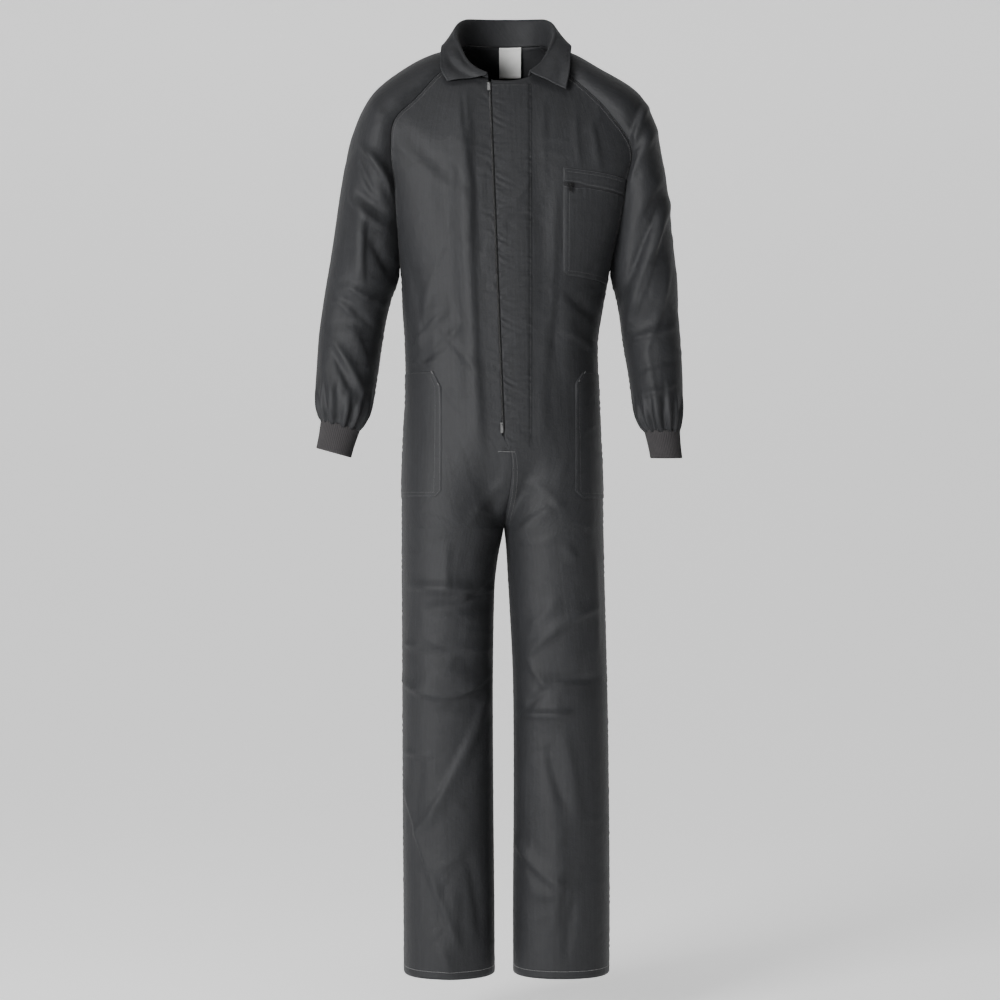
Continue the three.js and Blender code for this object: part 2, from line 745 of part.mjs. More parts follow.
// Knitted cuff: a tube with ribs raised on its outside, on from the sleeve's last ring
function addCuff(side) {
  const rings = [0, 0.5].map((share) => sleevePoint(side, share, 2));
  const centre = rings[0].clone().lerp(rings[1], 0.5);
  const wide = rings[1].clone().sub(centre);
  const deep = sleevePoint(side, 0.25, 2).sub(centre);
  const down = new THREE.Vector3(...CUFF_WAY[side]);
  const around = evenly(0, 2 * Math.PI, CUFF_RIBS * 2).slice(0, -1);
  const ringAt = (s, rise) =>
    around.map((angle, i) => {
      const narrow = 1 - (1 - CUFF_TAPER) * Math.sin((s * Math.PI) / 2);
      const size = narrow + (i % 2 ? -rise : rise) / wide.length();
      const point = centre.clone().addScaledVector(down, CUFF_CLEAR + s * (1 - CUFF_CLEAR));
      point.addScaledVector(wide, Math.cos(angle) * size);
      return point.addScaledVector(deep, Math.sin(angle) * size);
    });
  const rows = evenly(0, 1, CUFF_ROWS);
  const outer = rows.map((s) => ringAt(s, RIB_RISE));
  const inner = rows.map((s) => {
    const ring = ringAt(s, 0);
    const middle = ring[0].clone().lerp(ring[CUFF_RIBS], 0.5);
    return ring.map((point) => point.lerp(middle, KNIT_WALL / wide.length()));
  });
  addPiece(`cuff_${side}`, wallBetween(outer, inner, side === "right", true), KNIT_FINISH);
}

// Place on a front panel, from where it is seen square on, and the panel's normal there
function onFront(side, x, z) {
  let level = z > ARMPIT_Z ? 0.6 : 1 + (z - ARMPIT_Z) / (HIP_Z - ARMPIT_Z);
  let share = 0.5;
  const at = (s, l) => panelPoint("front", side, s, l);
  const small = 1e-4;
  for (let i = 0; i < 30; i++) {
    const point = at(share, level);
    const alongShare = at(share + small, level).sub(point).divideScalar(small);
    const alongLevel = at(share, level + small).sub(point).divideScalar(small);
    const [offX, offZ] = [x - point.x, z - point.z];
    const size = alongShare.x * alongLevel.z - alongLevel.x * alongShare.z;
    share += (0.8 * (offX * alongLevel.z - alongLevel.x * offZ)) / size;
    level += (0.8 * (alongShare.x * offZ - offX * alongShare.z)) / size;
    share = THREE.MathUtils.clamp(share, -0.2, 0.999);
    level = THREE.MathUtils.clamp(level, 0, 2.9);
  }
  return onPanel(side, share, level);
}

// Place on the flat face of a front panel that holds a share and a level
function onPanel(side, share, level) {
  const { grid, normals } = frontGrids[side];
  const row = bodyLevels.findLastIndex((l, i) => l <= level && i < bodyLevels.length - 1);
  const column = Math.min(Math.max(Math.floor(share * PANEL_COLUMNS), 0), PANEL_COLUMNS - 1);
  const v = (level - bodyLevels[row]) / (bodyLevels[row + 1] - bodyLevels[row]);
  const u = share * PANEL_COLUMNS - column;
  const blend = (points) => {
    const [a, b] = [points[row][column], points[row][column + 1]];
    const [d, c] = [points[row + 1][column], points[row + 1][column + 1]];
    const sideways = u > v ? b.clone().sub(a) : c.clone().sub(d);
    const along = u > v ? c.clone().sub(b) : d.clone().sub(a);
    return a.clone().addScaledVector(sideways, u).addScaledVector(along, v);
  };
  return { point: blend(grid), normal: blend(normals).normalize(), share, level };
}

// Patch that lies on a front panel: a grid of places, lifted off the panel and walled
function patchGeometry(side, places, lift, wall) {
  return patchWall(places.map((row) => row.map(([x, z]) => onFront(side, x, z))), lift, wall);
}

function patchWall(found, lift, wall) {
  const shift = (distance) =>
    found.map((row) =>
      row.map(({ point, normal }) => point.clone().addScaledVector(normal, distance)),
    );
  const flip = found[0][0].point.x < found[0][1].point.x;
  return wallBetween(shift(lift + wall), shift(lift), flip, false);
}

// Tape of the zip behind the fronts, with the chain as one bar in the slot
function addZip() {
  const rows = evenly(ZIP_TOP_Z, ZIP_END_Z, ZIP_ROWS);
  const [half, chain] = [ZIP_TAPE_WIDTH / 2, CHAIN_WIDTH / 2];
  const offsets = [-half, -chain - CHAIN_FOOT, -chain, chain, chain + CHAIN_FOOT, half];
  const behind = TWILL + TAPE_GAP;
  const tape = (depth, chainDepth) =>
    rows.map((z) =>
      offsets.map((offset) => {
        const x = between(FRONT_MIDDLE, "z", z, "x") + offset;
        const { point, normal } = onFront(offset < 0 ? "right" : "left", x, z);
        return point.addScaledVector(normal, Math.abs(offset) > chain ? -depth : -chainDepth);
      }),
    );
  const back = behind + ZIP_TAPE_WALL;
  addPiece("zip_tape", wallBetween(tape(behind, 0), tape(back, back), true, false), TAPE_FINISH);
}

// Fly over the zip, from its free edge to its row of stitches
function addFly() {
  const rows = evenly(FLY_TOP_Z, FLY_END_Z, FLY_ROWS);
  const places = rows.map((z) => {
    const edge = Math.min(between(FRONT_MIDDLE, "z", z, "x"), FLY_FOOT_X) + FLY_EDGE;
    return [0, 0.3, 0.65, 1].map((s) => [edge + (FLY_SEWN_X - edge) * s, z]);
  });
  addPiece("fly", patchGeometry("left", places, PATCH_LIFT + 0.3, TWILL), TWILL_FINISH);
}

// Place on a front panel on one of its columns, at a height
function onColumn(side, share, z) {
  let level = z > ARMPIT_Z ? 0.6 : levelAt(z);
  const small = 1e-3;
  for (let i = 0; i < 12; i++) {
    const here = panelPoint("front", side, share, level).z;
    const fallHere = (panelPoint("front", side, share, level + small).z - here) / small;
    level = THREE.MathUtils.clamp(level + (z - here) / fallHere, small, 3 - small);
  }
  return onPanel(side, share, level);
}

// Shares across a front from a start to an end, with the panel's own columns between them
function columnsBetween(start, end, first, last) {
  const narrow = 0.02;
  const own = evenly(0, 1, PANEL_COLUMNS).filter((c) => c > first + 0.01 && c < last - 0.01);
  const inside = own.map((c, i) => {
    const least = start + (i + 1) * narrow;
    return THREE.MathUtils.clamp(c, least, end - (own.length - i) * narrow);
  });
  return [start, ...inside, end];
}

// Strip of the chest pocket between two depths below its top line
function chestStrip(from, to, rows, footed) {
  const { inner, innerTop, slope, footSlope, corner } = CHEST_POCKET;
  const depths = evenly(from, to, rows);
  const starts = depths.map((depth) => {
    const cut = footed ? Math.max(0, corner - (to - depth)) : 0;
    return onFront("left", inner + cut, innerTop - depth).share;
  });
  return depths.map((depth, r) => {
    const down = footed ? (depth - from) / (to - from) : 0;
    const end = CHEST_POCKET_END - CHEST_POCKET_NARROWING * down;
    const tilt = slope + (footSlope - slope) * down;
    const shares = columnsBetween(starts[r], end, Math.min(...starts), CHEST_POCKET_END);
    return shares.map((share) => {
      const s = (share - starts[r]) / (end - starts[r]);
      return onColumn("left", share, innerTop - depth + tilt * s);
    });
  });
}

// Chest pocket, its band, and the strip of zip between them
function addChestPocket() {
  const zip = CHEST_BAND + CHEST_ZIP_GAP;
  const pieces = [
    ["chest_pocket", chestStrip(zip, CHEST_POCKET.depth, 9, true), PATCH_WALL, TWILL_FINISH],
    ["chest_pocket_band", chestStrip(0, CHEST_BAND, 2, false), PATCH_WALL, TWILL_FINISH],
    [
      "chest_zip_tape",
      chestStrip(CHEST_BAND + SEAM_GAP, zip - SEAM_GAP, 1, false),
      CHEST_TAPE_WALL,
      TAPE_FINISH,
    ],
  ];
  for (const [name, found, wall, finish] of pieces)
    addPiece(name, patchWall(found, PATCH_LIFT, wall), finish);
}

// Level of the trunk or the fork at a height
function levelAt(z) {
  if (z > HIP_Z) return 1 + (z - ARMPIT_Z) / (HIP_Z - ARMPIT_Z);
  return 2 + (Math.asin(fork(z)) * 2) / Math.PI;
}

// Side pocket, from its slanted mouth to its cut corner. Its rows and columns are the
// panel's, so that it lies flat on the panel's faces.
function addSidePocket(side) {
  const { frontX, top, mouth, mouthX, foot, cut } = SIDE_POCKET[side];
  const sign = sideSign(side);
  const heights = [top, top - mouth, foot + cut, foot];
  for (let row = 0; row < TRUNK_ROWS; row++)
    heights.push(ARMPIT_Z + ((HIP_Z - ARMPIT_Z) * row) / TRUNK_ROWS);
  for (let row = 0; row < FORK_ROWS; row++)
    heights.push(HIP_Z + (CROTCH_Z - HIP_Z) * Math.sin((row * Math.PI) / 2 / FORK_ROWS));
  const rows = heights.filter((z) => z <= top && z >= foot).sort((a, b) => b - a);
  const starts = rows.map((z) => {
    const nearTop = THREE.MathUtils.clamp((z - (top - mouth)) / mouth, 0, 1);
    const nearFoot = THREE.MathUtils.clamp((foot + cut - z) / cut, 0, 1);
    const start = frontX + (mouthX - frontX) * nearTop + sign * nearFoot * cut;
    return onFront(side, start, z).share;
  });
  const first = Math.min(...starts);
  const found = rows.map((z, r) =>
    columnsBetween(starts[r], SIDE_POCKET_END, first, SIDE_POCKET_END).map((share) =>
      onPanel(side, share, levelAt(z)),
    ),
  );
  addPiece(`side_pocket_${side}`, patchWall(found, SIDE_POCKET_LIFT, PATCH_WALL), TWILL_FINISH);
}

// Point of the neck's edge at an angle round it, from the middle of the front
function neckPoint(side, angle) {
  const sign = sideSign(side);
  if (angle <= FRONT_RAGLAN) return yokeAtAngle("front", side, angle);
  if (angle >= BACK_RAGLAN) return yokeAtAngle("back", side, Math.PI - angle);
  const share = (angle - FRONT_RAGLAN) / (BACK_RAGLAN - FRONT_RAGLAN);
  const point = sleevePoint(side, share, 0);
  return vector(sign * Math.abs(point.x), point.y, point.z);
}

function yokeAtAngle(face, side, angle) {
  const reachRows = face === "front" ? FRONT_REACH : BACK_REACH;
  const reach = THREE.MathUtils.degToRad(reachRows[0].angle);
  const line = middleLine(face, 0);
  const edge = seamPoint(face, side, 0);
  const depth = (edge.y - line.y) / (1 - outward(reach, TRUNK_SQUARE));
  const x = (edge.x * across(angle, TRUNK_SQUARE)) / across(reach, TRUNK_SQUARE);
  const y = line.y + depth * (1 - outward(angle, TRUNK_SQUARE));
  return vector(x, y, line.z + (edge.z - line.z) * (angle / reach) ** 2);
}

// Collar: a stand up from the neck, a roll, and a fall that spreads to the points
function collarSection(side, angle) {
  const rows = COLLAR[side];
  const degrees = THREE.MathUtils.radToDeg(angle);
  const seam = neckPoint(side, angle);
  const away = vector(seam.x, seam.y - NECK_BACKWARD, 0);
  away.x *= NECK_HALF_DEPTH / NECK_HALF_WIDTH;
  away.normalize();
  const [lean, rise] = ["lean", "rise"].map((name) => between(rows, "angle", degrees, name));
  const roll = seam.clone().addScaledVector(away, lean + ROLL);
  roll.z += rise;
  const edge = vector(
    between(rows, "angle", degrees, "x") * sideSign(side),
    between(rows, "angle", degrees, "y"),
    between(rows, "angle", degrees, "z"),
  );
  seam.z += COLLAR_GAP;
  seam.addScaledVector(away, -COLLAR_IN);
  const rollIn = roll.clone().addScaledVector(away, -ROLL);
  const rollOut = roll.clone().addScaledVector(away, ROLL);
  const rollTop = roll.clone();
  rollTop.z += ROLL * 1.1;
  const fall = [0.35, 0.7].map((s) => rollOut.clone().lerp(edge, s));
  return [seam, seam.clone().lerp(rollIn, 0.5), rollIn, rollTop, rollOut, ...fall, edge];
}

function addCollar() {
  const anglesOf = (side) => [
    ...evenly(THREE.MathUtils.degToRad(COLLAR[side][0].angle), FRONT_RAGLAN, 4),
    ...evenly(FRONT_RAGLAN, BACK_RAGLAN, 5).slice(1),
    ...evenly(BACK_RAGLAN, Math.PI, 3).slice(1),
  ];
  const right = anglesOf("right").map((angle) => collarSection("right", angle));
  const left = anglesOf("left").map((angle) => collarSection("left", angle));
  const grid = [...right, ...left.reverse().slice(1)];
  const normals = ownNormals(grid, true);
  const geometry = wallBetween(grid, movedOut(grid, normals, -COLLAR_WALL), true, false);
  addPiece("collar", geometry, TWILL_FINISH);
}

// Label inside the back of the neck, sewn along its top edge
function addLabel() {
  const places = evenly(0, 1, 3).map((r) =>
    evenly(-0.5, 0.5, 3).map((s) => {
      const z = BACK_LINE[0].z - 1 - LABEL_LENGTH * r;
      const x = LABEL_X + s * LABEL_WIDTH;
      const y = between(BACK_LINE, "z", z, "y") - TWILL - LABEL_IN - LABEL_BEND * x ** 2;
      return vector(x, y, z);
    }),
  );
  const inner = places.map((row) => row.map((point) => point.clone().setY(point.y + LABEL_WALL)));
  addPiece("neck_label", wallBetween(places, inner, true, false), LABEL_FINISH);
}

// One solid from several closed shapes
function joined(geometries) {
  const solids = geometries.map((geometry) => {
    const bare = geometry.clone().deleteAttribute("normal").deleteAttribute("uv");
    const merged = mergeVertices(bare, 1e-4);
    return new wasm.Manifold(
      new wasm.Mesh({
        numProp: 3,
        vertProperties: merged.attributes.position.array,
        triVerts: new Uint32Array(merged.index.array),
      }),
    );
  });
  const mesh = solids.reduce((whole, solid) => whole.add(solid)).getMesh();
  const geometry = new THREE.BufferGeometry();
  geometry.setAttribute("position", new THREE.BufferAttribute(mesh.vertProperties, 3));
  return geometry.setIndex(new THREE.BufferAttribute(mesh.triVerts, 1));
}

// Slider with its arch. In its own frame the pull hangs down along Z and the front is -Y.
// The chain runs along Z too, or along X where the slider is turned.
function sliderGeometry(turned) {
  const [w, l] = [SLIDER_WIDTH / 2, SLIDER_LENGTH / 2];
  const outline = new THREE.Shape();
  outline.moveTo(-w, l);
  outline.lineTo(-w * SLIDER_TAPER, -l);
  outline.lineTo(w * SLIDER_TAPER, -l);
  outline.lineTo(w, l);
  outline.closePath();
  const flat = { bevelEnabled: false, curveSegments: ROUND_SEGMENTS };
  const body = new THREE.ExtrudeGeometry(outline, { ...flat, depth: SLIDER_DEPTH });
  body.rotateX(Math.PI / 2);
  if (turned) body.rotateY(Math.PI / 2);
  const arch = new THREE.Shape();
  arch.moveTo(ARCH_RADIUS, 1 - SLIDER_DEPTH);
  arch.lineTo(-ARCH_RADIUS, 1 - SLIDER_DEPTH);
  arch.absarc(0, ARCH_AXIS, ARCH_RADIUS, Math.PI, 2 * Math.PI, false);
  arch.closePath();
  const hole = new THREE.Path();
  hole.absarc(0, ARCH_AXIS, ARCH_HOLE, 0, 2 * Math.PI, true);
  arch.holes.push(hole);
  const loop = new THREE.ExtrudeGeometry(arch, { ...flat, depth: ARCH_WIDTH });
  loop.rotateY(Math.PI / 2).translate(-ARCH_WIDTH / 2, 0, 0);
  return joined([body, loop]);
}

// Pull tab in the same frame, hanging from the slider's arch by its eye
function pullGeometry() {
  const [w, bar, eye] = [PULL_HALF_WIDTH, PULL_WALL / 2, PULL_EYE_HALF_WIDTH];
  const outline = new THREE.Shape();
  outline.moveTo(-w, bar);
  outline.lineTo(-w, w - PULL_LENGTH);
  outline.absarc(0, w - PULL_LENGTH, w, Math.PI, 2 * Math.PI, false);
  outline.lineTo(w, bar);
  outline.closePath();
  const opening = new THREE.Path();
  opening.moveTo(-eye, -bar);
  opening.lineTo(eye, -bar);
  opening.lineTo(eye, -PULL_EYE_END);
  opening.lineTo(-eye, -PULL_EYE_END);
  opening.closePath();
  outline.holes.push(opening);
  const options = { depth: PULL_WALL, bevelEnabled: false, curveSegments: ROUND_SEGMENTS };
  const tab = new THREE.ExtrudeGeometry(outline, options);
  return tab.rotateX(Math.PI / 2).translate(0, ARCH_AXIS + PULL_WALL / 2, 0);
}

// A slider and its pull, set over a place on the panel, with its top to a place above
function setSlider(name, { point, normal }, above, lift, turned) {
  const inward = normal.clone().negate();
  const sideways = inward.clone().cross(above.point.clone().sub(point)).normalize();
  const upward = sideways.clone().cross(inward);
  const holder = new THREE.Group();
  holder.quaternion.setFromRotationMatrix(
    new THREE.Matrix4().makeBasis(sideways, inward, upward),
  );
  holder.position.copy(point).addScaledVector(normal, lift);
  holder.add(addPiece(`zip_slider_${name}`, sliderGeometry(turned), METAL_FINISH));
  holder.add(addPiece(`zip_pull_${name}`, pullGeometry(), METAL_FINISH));
  group.add(holder);
}

// Slider of the front zip at a height
function addSlider(name, z) {
  const placeAt = (height) =>
    onFront("right", between(FRONT_MIDDLE, "z", height, "x") + SLIDER_ASIDE, height);
  setSlider(name, placeAt(z), placeAt(z + 1), SLIDER_LIFT, false);
}

// Slider of the chest pocket's zip, at its closed end
function addChestSlider() {
  const { inner, innerTop, slope, width } = CHEST_POCKET;
  const x = inner + CHEST_SLIDER_IN;
  const z = innerTop - CHEST_BAND - CHEST_ZIP_GAP / 2 + (slope * CHEST_SLIDER_IN) / width;
  const lift = PATCH_LIFT + CHEST_TAPE_WALL + SLIDER_LIFT;
  setSlider("chest", onFront("left", x, z), onFront("left", x, z + 1), lift, true);
}

addBody();
for (const side of ["left", "right"]) {
  addCuff(side);
  addSidePocket(side);
}
addZip();
for (const [name, z] of Object.entries(SLIDER_Z)) addSlider(name, z);
addFly();
addChestPocket();
addChestSlider();
addCollar();
addLabel();

export default group;
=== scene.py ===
import math

import bpy
import numpy as np
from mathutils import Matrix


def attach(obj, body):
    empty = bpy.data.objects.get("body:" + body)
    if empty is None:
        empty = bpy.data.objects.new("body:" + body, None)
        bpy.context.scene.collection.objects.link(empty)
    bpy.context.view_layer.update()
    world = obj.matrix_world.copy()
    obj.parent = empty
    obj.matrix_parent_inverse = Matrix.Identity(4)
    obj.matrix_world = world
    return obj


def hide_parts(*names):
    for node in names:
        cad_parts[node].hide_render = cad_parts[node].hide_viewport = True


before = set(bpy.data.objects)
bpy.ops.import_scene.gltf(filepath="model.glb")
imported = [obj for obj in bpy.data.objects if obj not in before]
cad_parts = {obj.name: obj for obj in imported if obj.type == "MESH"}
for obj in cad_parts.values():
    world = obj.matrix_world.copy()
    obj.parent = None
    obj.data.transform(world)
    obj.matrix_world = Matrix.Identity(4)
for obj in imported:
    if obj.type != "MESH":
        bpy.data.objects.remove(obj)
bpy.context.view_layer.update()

# Sizes are in millimetres until a mesh is made. The front faces -Y, +X is the wearer's left,
# and the origin is the middle of the neck opening.
MM = 0.001

# Walls of the cloths, and how far off its panel a patch's turned edge lies
CLOTH = 1.1
COLLAR_CLOTH = 1.8
PATCH_CLOTH = 0.2
PATCH_LOW = 0.2
KNIT_CLOTH = 1.6
TAPE_CLOTH = 0.6
LABEL_CLOTH = 0.4

# In metres: the floor's height and the camera's place; its lens is in mm
FLOOR_Z = -1.66
CAMERA = (-0.0086, -4.2, -0.755)
LENS = 87.7

# Linear colours of the dyed cloth, which its unevenness makes darker and paler; the knit's colour
# is also painted darker between its ribs, as shade, and paler on their crests
TWILL_COLOUR = (0.0148, 0.0153, 0.017)
KNIT_COLOUR = (0.033, 0.031, 0.032)

# Heights of the cut
ARMPIT_Z = -372.0
HIP_Z = -640.0
CROTCH_Z = -803.0
HEM_Z = -1567.0

# Angles round the neck where the raglan seams start, how much squarer than an ellipse the
# sections are, how far the legs' columns crowd to the inseam, and the neck's middle and its
# depth to its width
FRONT_RAGLAN = math.radians(65)
BACK_RAGLAN = math.radians(130)
TRUNK_SQUARE = 0.1
LEG_SQUARE = 0.08
LEG_COLUMN_SHIFT = 0.45
NECK_BACKWARD = -10.0
NECK_ROUND = 72.0 / 78.0


def table(columns, rows):
    """Named columns for the rows of a table, each as one array."""
    return {name: np.array(values, float) for name, values in zip(columns.split(), zip(*rows))}


# Raglan seam of the front, from the neck to the armpit
FRONT_SEAM = {
    "left": table("at x y z", [
        (0, 70.7, -40.4, -4.6),
        (0.11, 107, -64, -33),
        (0.22, 142, -77, -64),
        (0.34, 176, -85, -101),
        (0.5, 214, -80, -160),
        (0.63, 206, -74, -216),
        (0.78, 196, -58, -280),
        (0.95, 181, -21, -352),
        (1, 178, 0, ARMPIT_Z),
    ]),
    "right": table("at x y z", [
        (0, 70.7, -40.4, -4.6),
        (0.11, 109, -64, -28),
        (0.24, 149, -78, -73),
        (0.37, 187, -86, -114),
        (0.5, 193, -81, -166),
        (0.62, 188, -73, -218),
        (0.78, 184, -56, -287),
        (0.95, 180, -21, -353),
        (1, 178, 0, ARMPIT_Z),
    ]),
}
BACK_SEAM = table("at x y z", [
    (0, 59.7, 36.3, 33.7),
    (0.12, 96, 62, 4),
    (0.25, 134, 80, -36),
    (0.38, 168, 92, -84),
    (0.5, 192, 96, -136),
    (0.64, 196, 88, -200),
    (0.8, 188, 62, -280),
    (0.95, 180, 22, -352),
    (1, 178, 0, ARMPIT_Z),
])

# Shoulder line over the seams, and how far round its ring the sleeve opens to each seam
SHOULDER = table("at left right z opening", [
    (0, 77, 77, 21, 50),
    (0.12, 116, 120, 15, 96),
    (0.25, 160, 170, -9, 106),
    (0.375, 225, 222, -50, 112),
    (0.5, 254, 254, -101, 115),
    (0.63, 267, 270, -150, 121),
    (0.78, 280, 284, -225, 138),
    (0.95, 290, 297, -318, 165),
    (1, 294, 302, -352, 180),
])
ARMPIT_HALF_DEPTH = 80.0

# Sleeve below the armpit
ARM = {
    "left": table("z inner outer depth y lift", [
        (-362, 178, 294, 80, 0, 10),
        (-380, 187, 297, 78, 1, 9),
        (-427, 197, 299, 70, 4, 7),
        (-479, 203.5, 302, 65, 3, 6),
        (-531, 212, 305, 61, -5, 5),
        (-583, 219, 305.5, 58, -14, 4),
        (-610, 224.5, 303, 52, -19, 2),
        (-628, 232.5, 300, 41, -22, 1),
        (-638.5, 239.7, 299, 32, -24, 0),
    ]),
    "right": table("z inner outer depth y lift", [
        (-362, 178, 302, 80, 0, 10),
        (-380, 189, 306, 78, 1, 9),
        (-427, 203, 314, 70, 4, 8),
        (-479, 212, 321, 65, 3, 8),
        (-531, 219, 324, 61, -5, 8),
        (-575, 226, 326, 58, -14, 9),
        (-600, 232, 324, 53, -19, 9),
        (-618, 242, 319, 42, -22, 9),
        (-628.5, 250, 315, 33, -24, 9),
    ]),
}

# Rough girth and length of a sleeve, for the waves along its seam, and its gathers
SLEEVE_GIRTH = 380.0
SLEEVE_DROP = 330.0
GATHERS = 13
GATHER_RISE = 4.2

# Cuffs: the way from the sleeve to the open end, the size of the knit and the number of ribs
CUFF_WAY = {"left": (7, -4, -45), "right": (-11, -4, -46)}
CUFF_LENGTH = 46.0
CUFF_RADIUS = 30.0
CUFF_RIBS = 60

# Middle of the front and of the back over the shoulders, and how far round its section a
# panel reaches at the raglan seam
FRONT_LINE = table("z y", [
    (-46, -82), (-80, -97), (-130, -111), (-200, -123), (-300, -130), (-372, -130),
])
BACK_LINE = table("z y", [
    (36, 62), (0, 77), (-60, 99), (-130, 115), (-200, 123), (-300, 126), (-372, 122),
])
FRONT_REACH = table("at angle", [(0, 65), (0.3, 58), (0.55, 62), (0.8, 74), (1, 90)])
BACK_REACH = table("at angle", [(0, 50), (0.3, 56), (0.55, 62), (0.8, 74), (1, 90)])

# Trunk below the armpit: its side seams and its depths
TRUNK = table("z left right front back", [
    (-372, 178, 178, 130, 122),
    (-427, 168, 176, 129, 117),
    (-479, 160, 172.5, 127, 113),
    (-531, 160, 171, 125, 111),
    (-583, 162, 171, 125, 114),
    (-634, 164, 174, 126, 122),
    (-686, 166, 176, 126, 129),
    (-738, 167, 177.5, 124, 132),
    (-803, 169, 177.5, 120, 128),
])
FRONT_MIDDLE = table("z x", [
    (-46, -26), (-330, -15), (-560, -6), (-630, -3.2), (-645, -2.6), (-682, 11), (-740, 11),
    (-803, -2),
])

# Legs: inner and outer edge, depths, and how far back the middle lies
LEG = {
    "left": table("z inner outer front back y", [
        (-803, -2, 169, 118, 122, 0),
        (-816, 0, 169.5, 117, 119, 0),
        (-841, 2, 170, 115, 115, 0),
        (-893, 5, 171, 111, 109, 0),
        (-945, 8, 172.5, 107, 105, 0),
        (-1048, 13, 175, 99, 99, -3),
        (-1150, 14.5, 177, 92, 95, -5),
        (-1300, 14.5, 179, 87, 91, 0),
        (-1450, 13.5, 180, 84, 87, 4),
        (-1567, 14, 179.5, 80, 84, 6),
    ]),
    "right": table("z inner outer front back y", [
        (-803, 2, 177.5, 118, 122, 0),
        (-816, 4, 177.5, 117, 119, 0),
        (-841, 10, 177.5, 115, 115, 0),
        (-893, 17, 177.5, 111, 109, 0),
        (-945, 19, 177, 107, 105, 0),
        (-1048, 20.5, 176.5, 99, 99, -3),
        (-1150, 20.5, 176, 92, 95, -5),
        (-1300, 19.5, 175.5, 88, 91, 0),
        (-1450, 18, 174.5, 86, 87, 4),
        (-1567, 17.5, 174, 84, 84, 6),
    ]),
}

# Folds, seen square on: where they run in x and z, how far their middle bows aside, half
# their breadth, their rise, and how much steeper one side of them is
FOLD = "x z toX toZ bow breadth rise skew"
FRONT_FOLDS = table(FOLD, [
    (-70, -80, -50, -660, 6, 20, 5, 0),
    (-98, -190, -72, -600, 0, 22, -4, 0),
    (60, -190, 70, -560, -6, 24, -5, 0),
    (105, -400, 112, -560, 0, 20, 4, 0),
    (-168, -505, -125, -520, 0, 14, -4, 0),
    (-160, -470, -100, -420, 0, 18, 4, 0),
    (-150, -905, -45, -920, -8, 16, 5, 0),
    (-60, -905, -28, -935, 0, 14, -6, 0),
    (-165, -1085, -40, -1070, -22, 20, 5, 0),
    (-170, -1010, -45, -1008, 6, 18, -4, 0),
    (-165, -1270, -90, -1500, 12, 24, -6, 0),
    (-130, -1400, -85, -1570, 0, 22, 5, 0),
    (60, -1050, 165, -1065, 0, 26, -5, 0),
    (30, -1125, 105, -1118, 0, 14, 4, 0),
    (72, -1240, 95, -1430, 0, 22, 5, 0),
    (30, -1410, 92, -1425, 0, 20, 4, 0),
])
BACK_FOLDS = table(FOLD, [
    (-60, -120, -75, -560, 8, 24, 4, 0),
    (65, -150, 72, -540, -8, 24, 5, 0),
    (-120, -500, 110, -515, 14, 20, 4, 0),
    (-105, -560, 120, -575, -16, 22, -4, 0),
    (-150, -850, -40, -830, 10, 20, 5, 0),
    (45, -835, 155, -855, 10, 20, 5, 0),
    (-160, -1090, -40, -1110, 16, 22, 5, 0),
    (40, -1100, 160, -1080, 16, 22, 5, 0),
    (-130, -1250, -70, -1480, -10, 24, -5, 0),
    (90, -1230, 120, -1490, 10, 24, -5, 0),
])
SLEEVE_FOLDS = {
    "left": table(FOLD, [
        (236, -70, 214, -130, 4, 12, -5, 0),
        (272, -215, 222, -385, 14, 15, -7, 0),
        (292, -260, 232, -330, -8, 15, 6, 0),
        (210, -420, 290, -395, 6, 15, 5, 0),
        (214, -470, 296, -450, -8, 16, -5, 0),
    ]),
    "right": table(FOLD, [
        (-215, -45, -200, -100, 0, 12, -4, 0),
        (-240, -165, -196, -220, 0, 14, 6, 0),
        (-262, -240, -208, -290, -6, 16, -6, 0),
        (-250, -265, -244, -355, 0, 14, 6, 0),
        (-284, -390, -222, -408, 6, 16, 5, 0),
        (-300, -450, -222, -470, -8, 16, -5, 0),
    ]),
}

# Soft folds of the collar's leaves
COLLAR_FOLDS = table(FOLD, [
    (-98, -2, -46, -42, 7, 7, -3.6, -0.3),
    (-92, 10, -56, -24, 5, 8, 2.4, 0.3),
    (-90, -44, -60, -56, 2, 8, 1.4, 0.3),
    (84, -8, 66, -52, -3, 9, 1.2, -0.3),
    (100, -20, 92, -58, 2, 7, -1.0, 0.2),
])
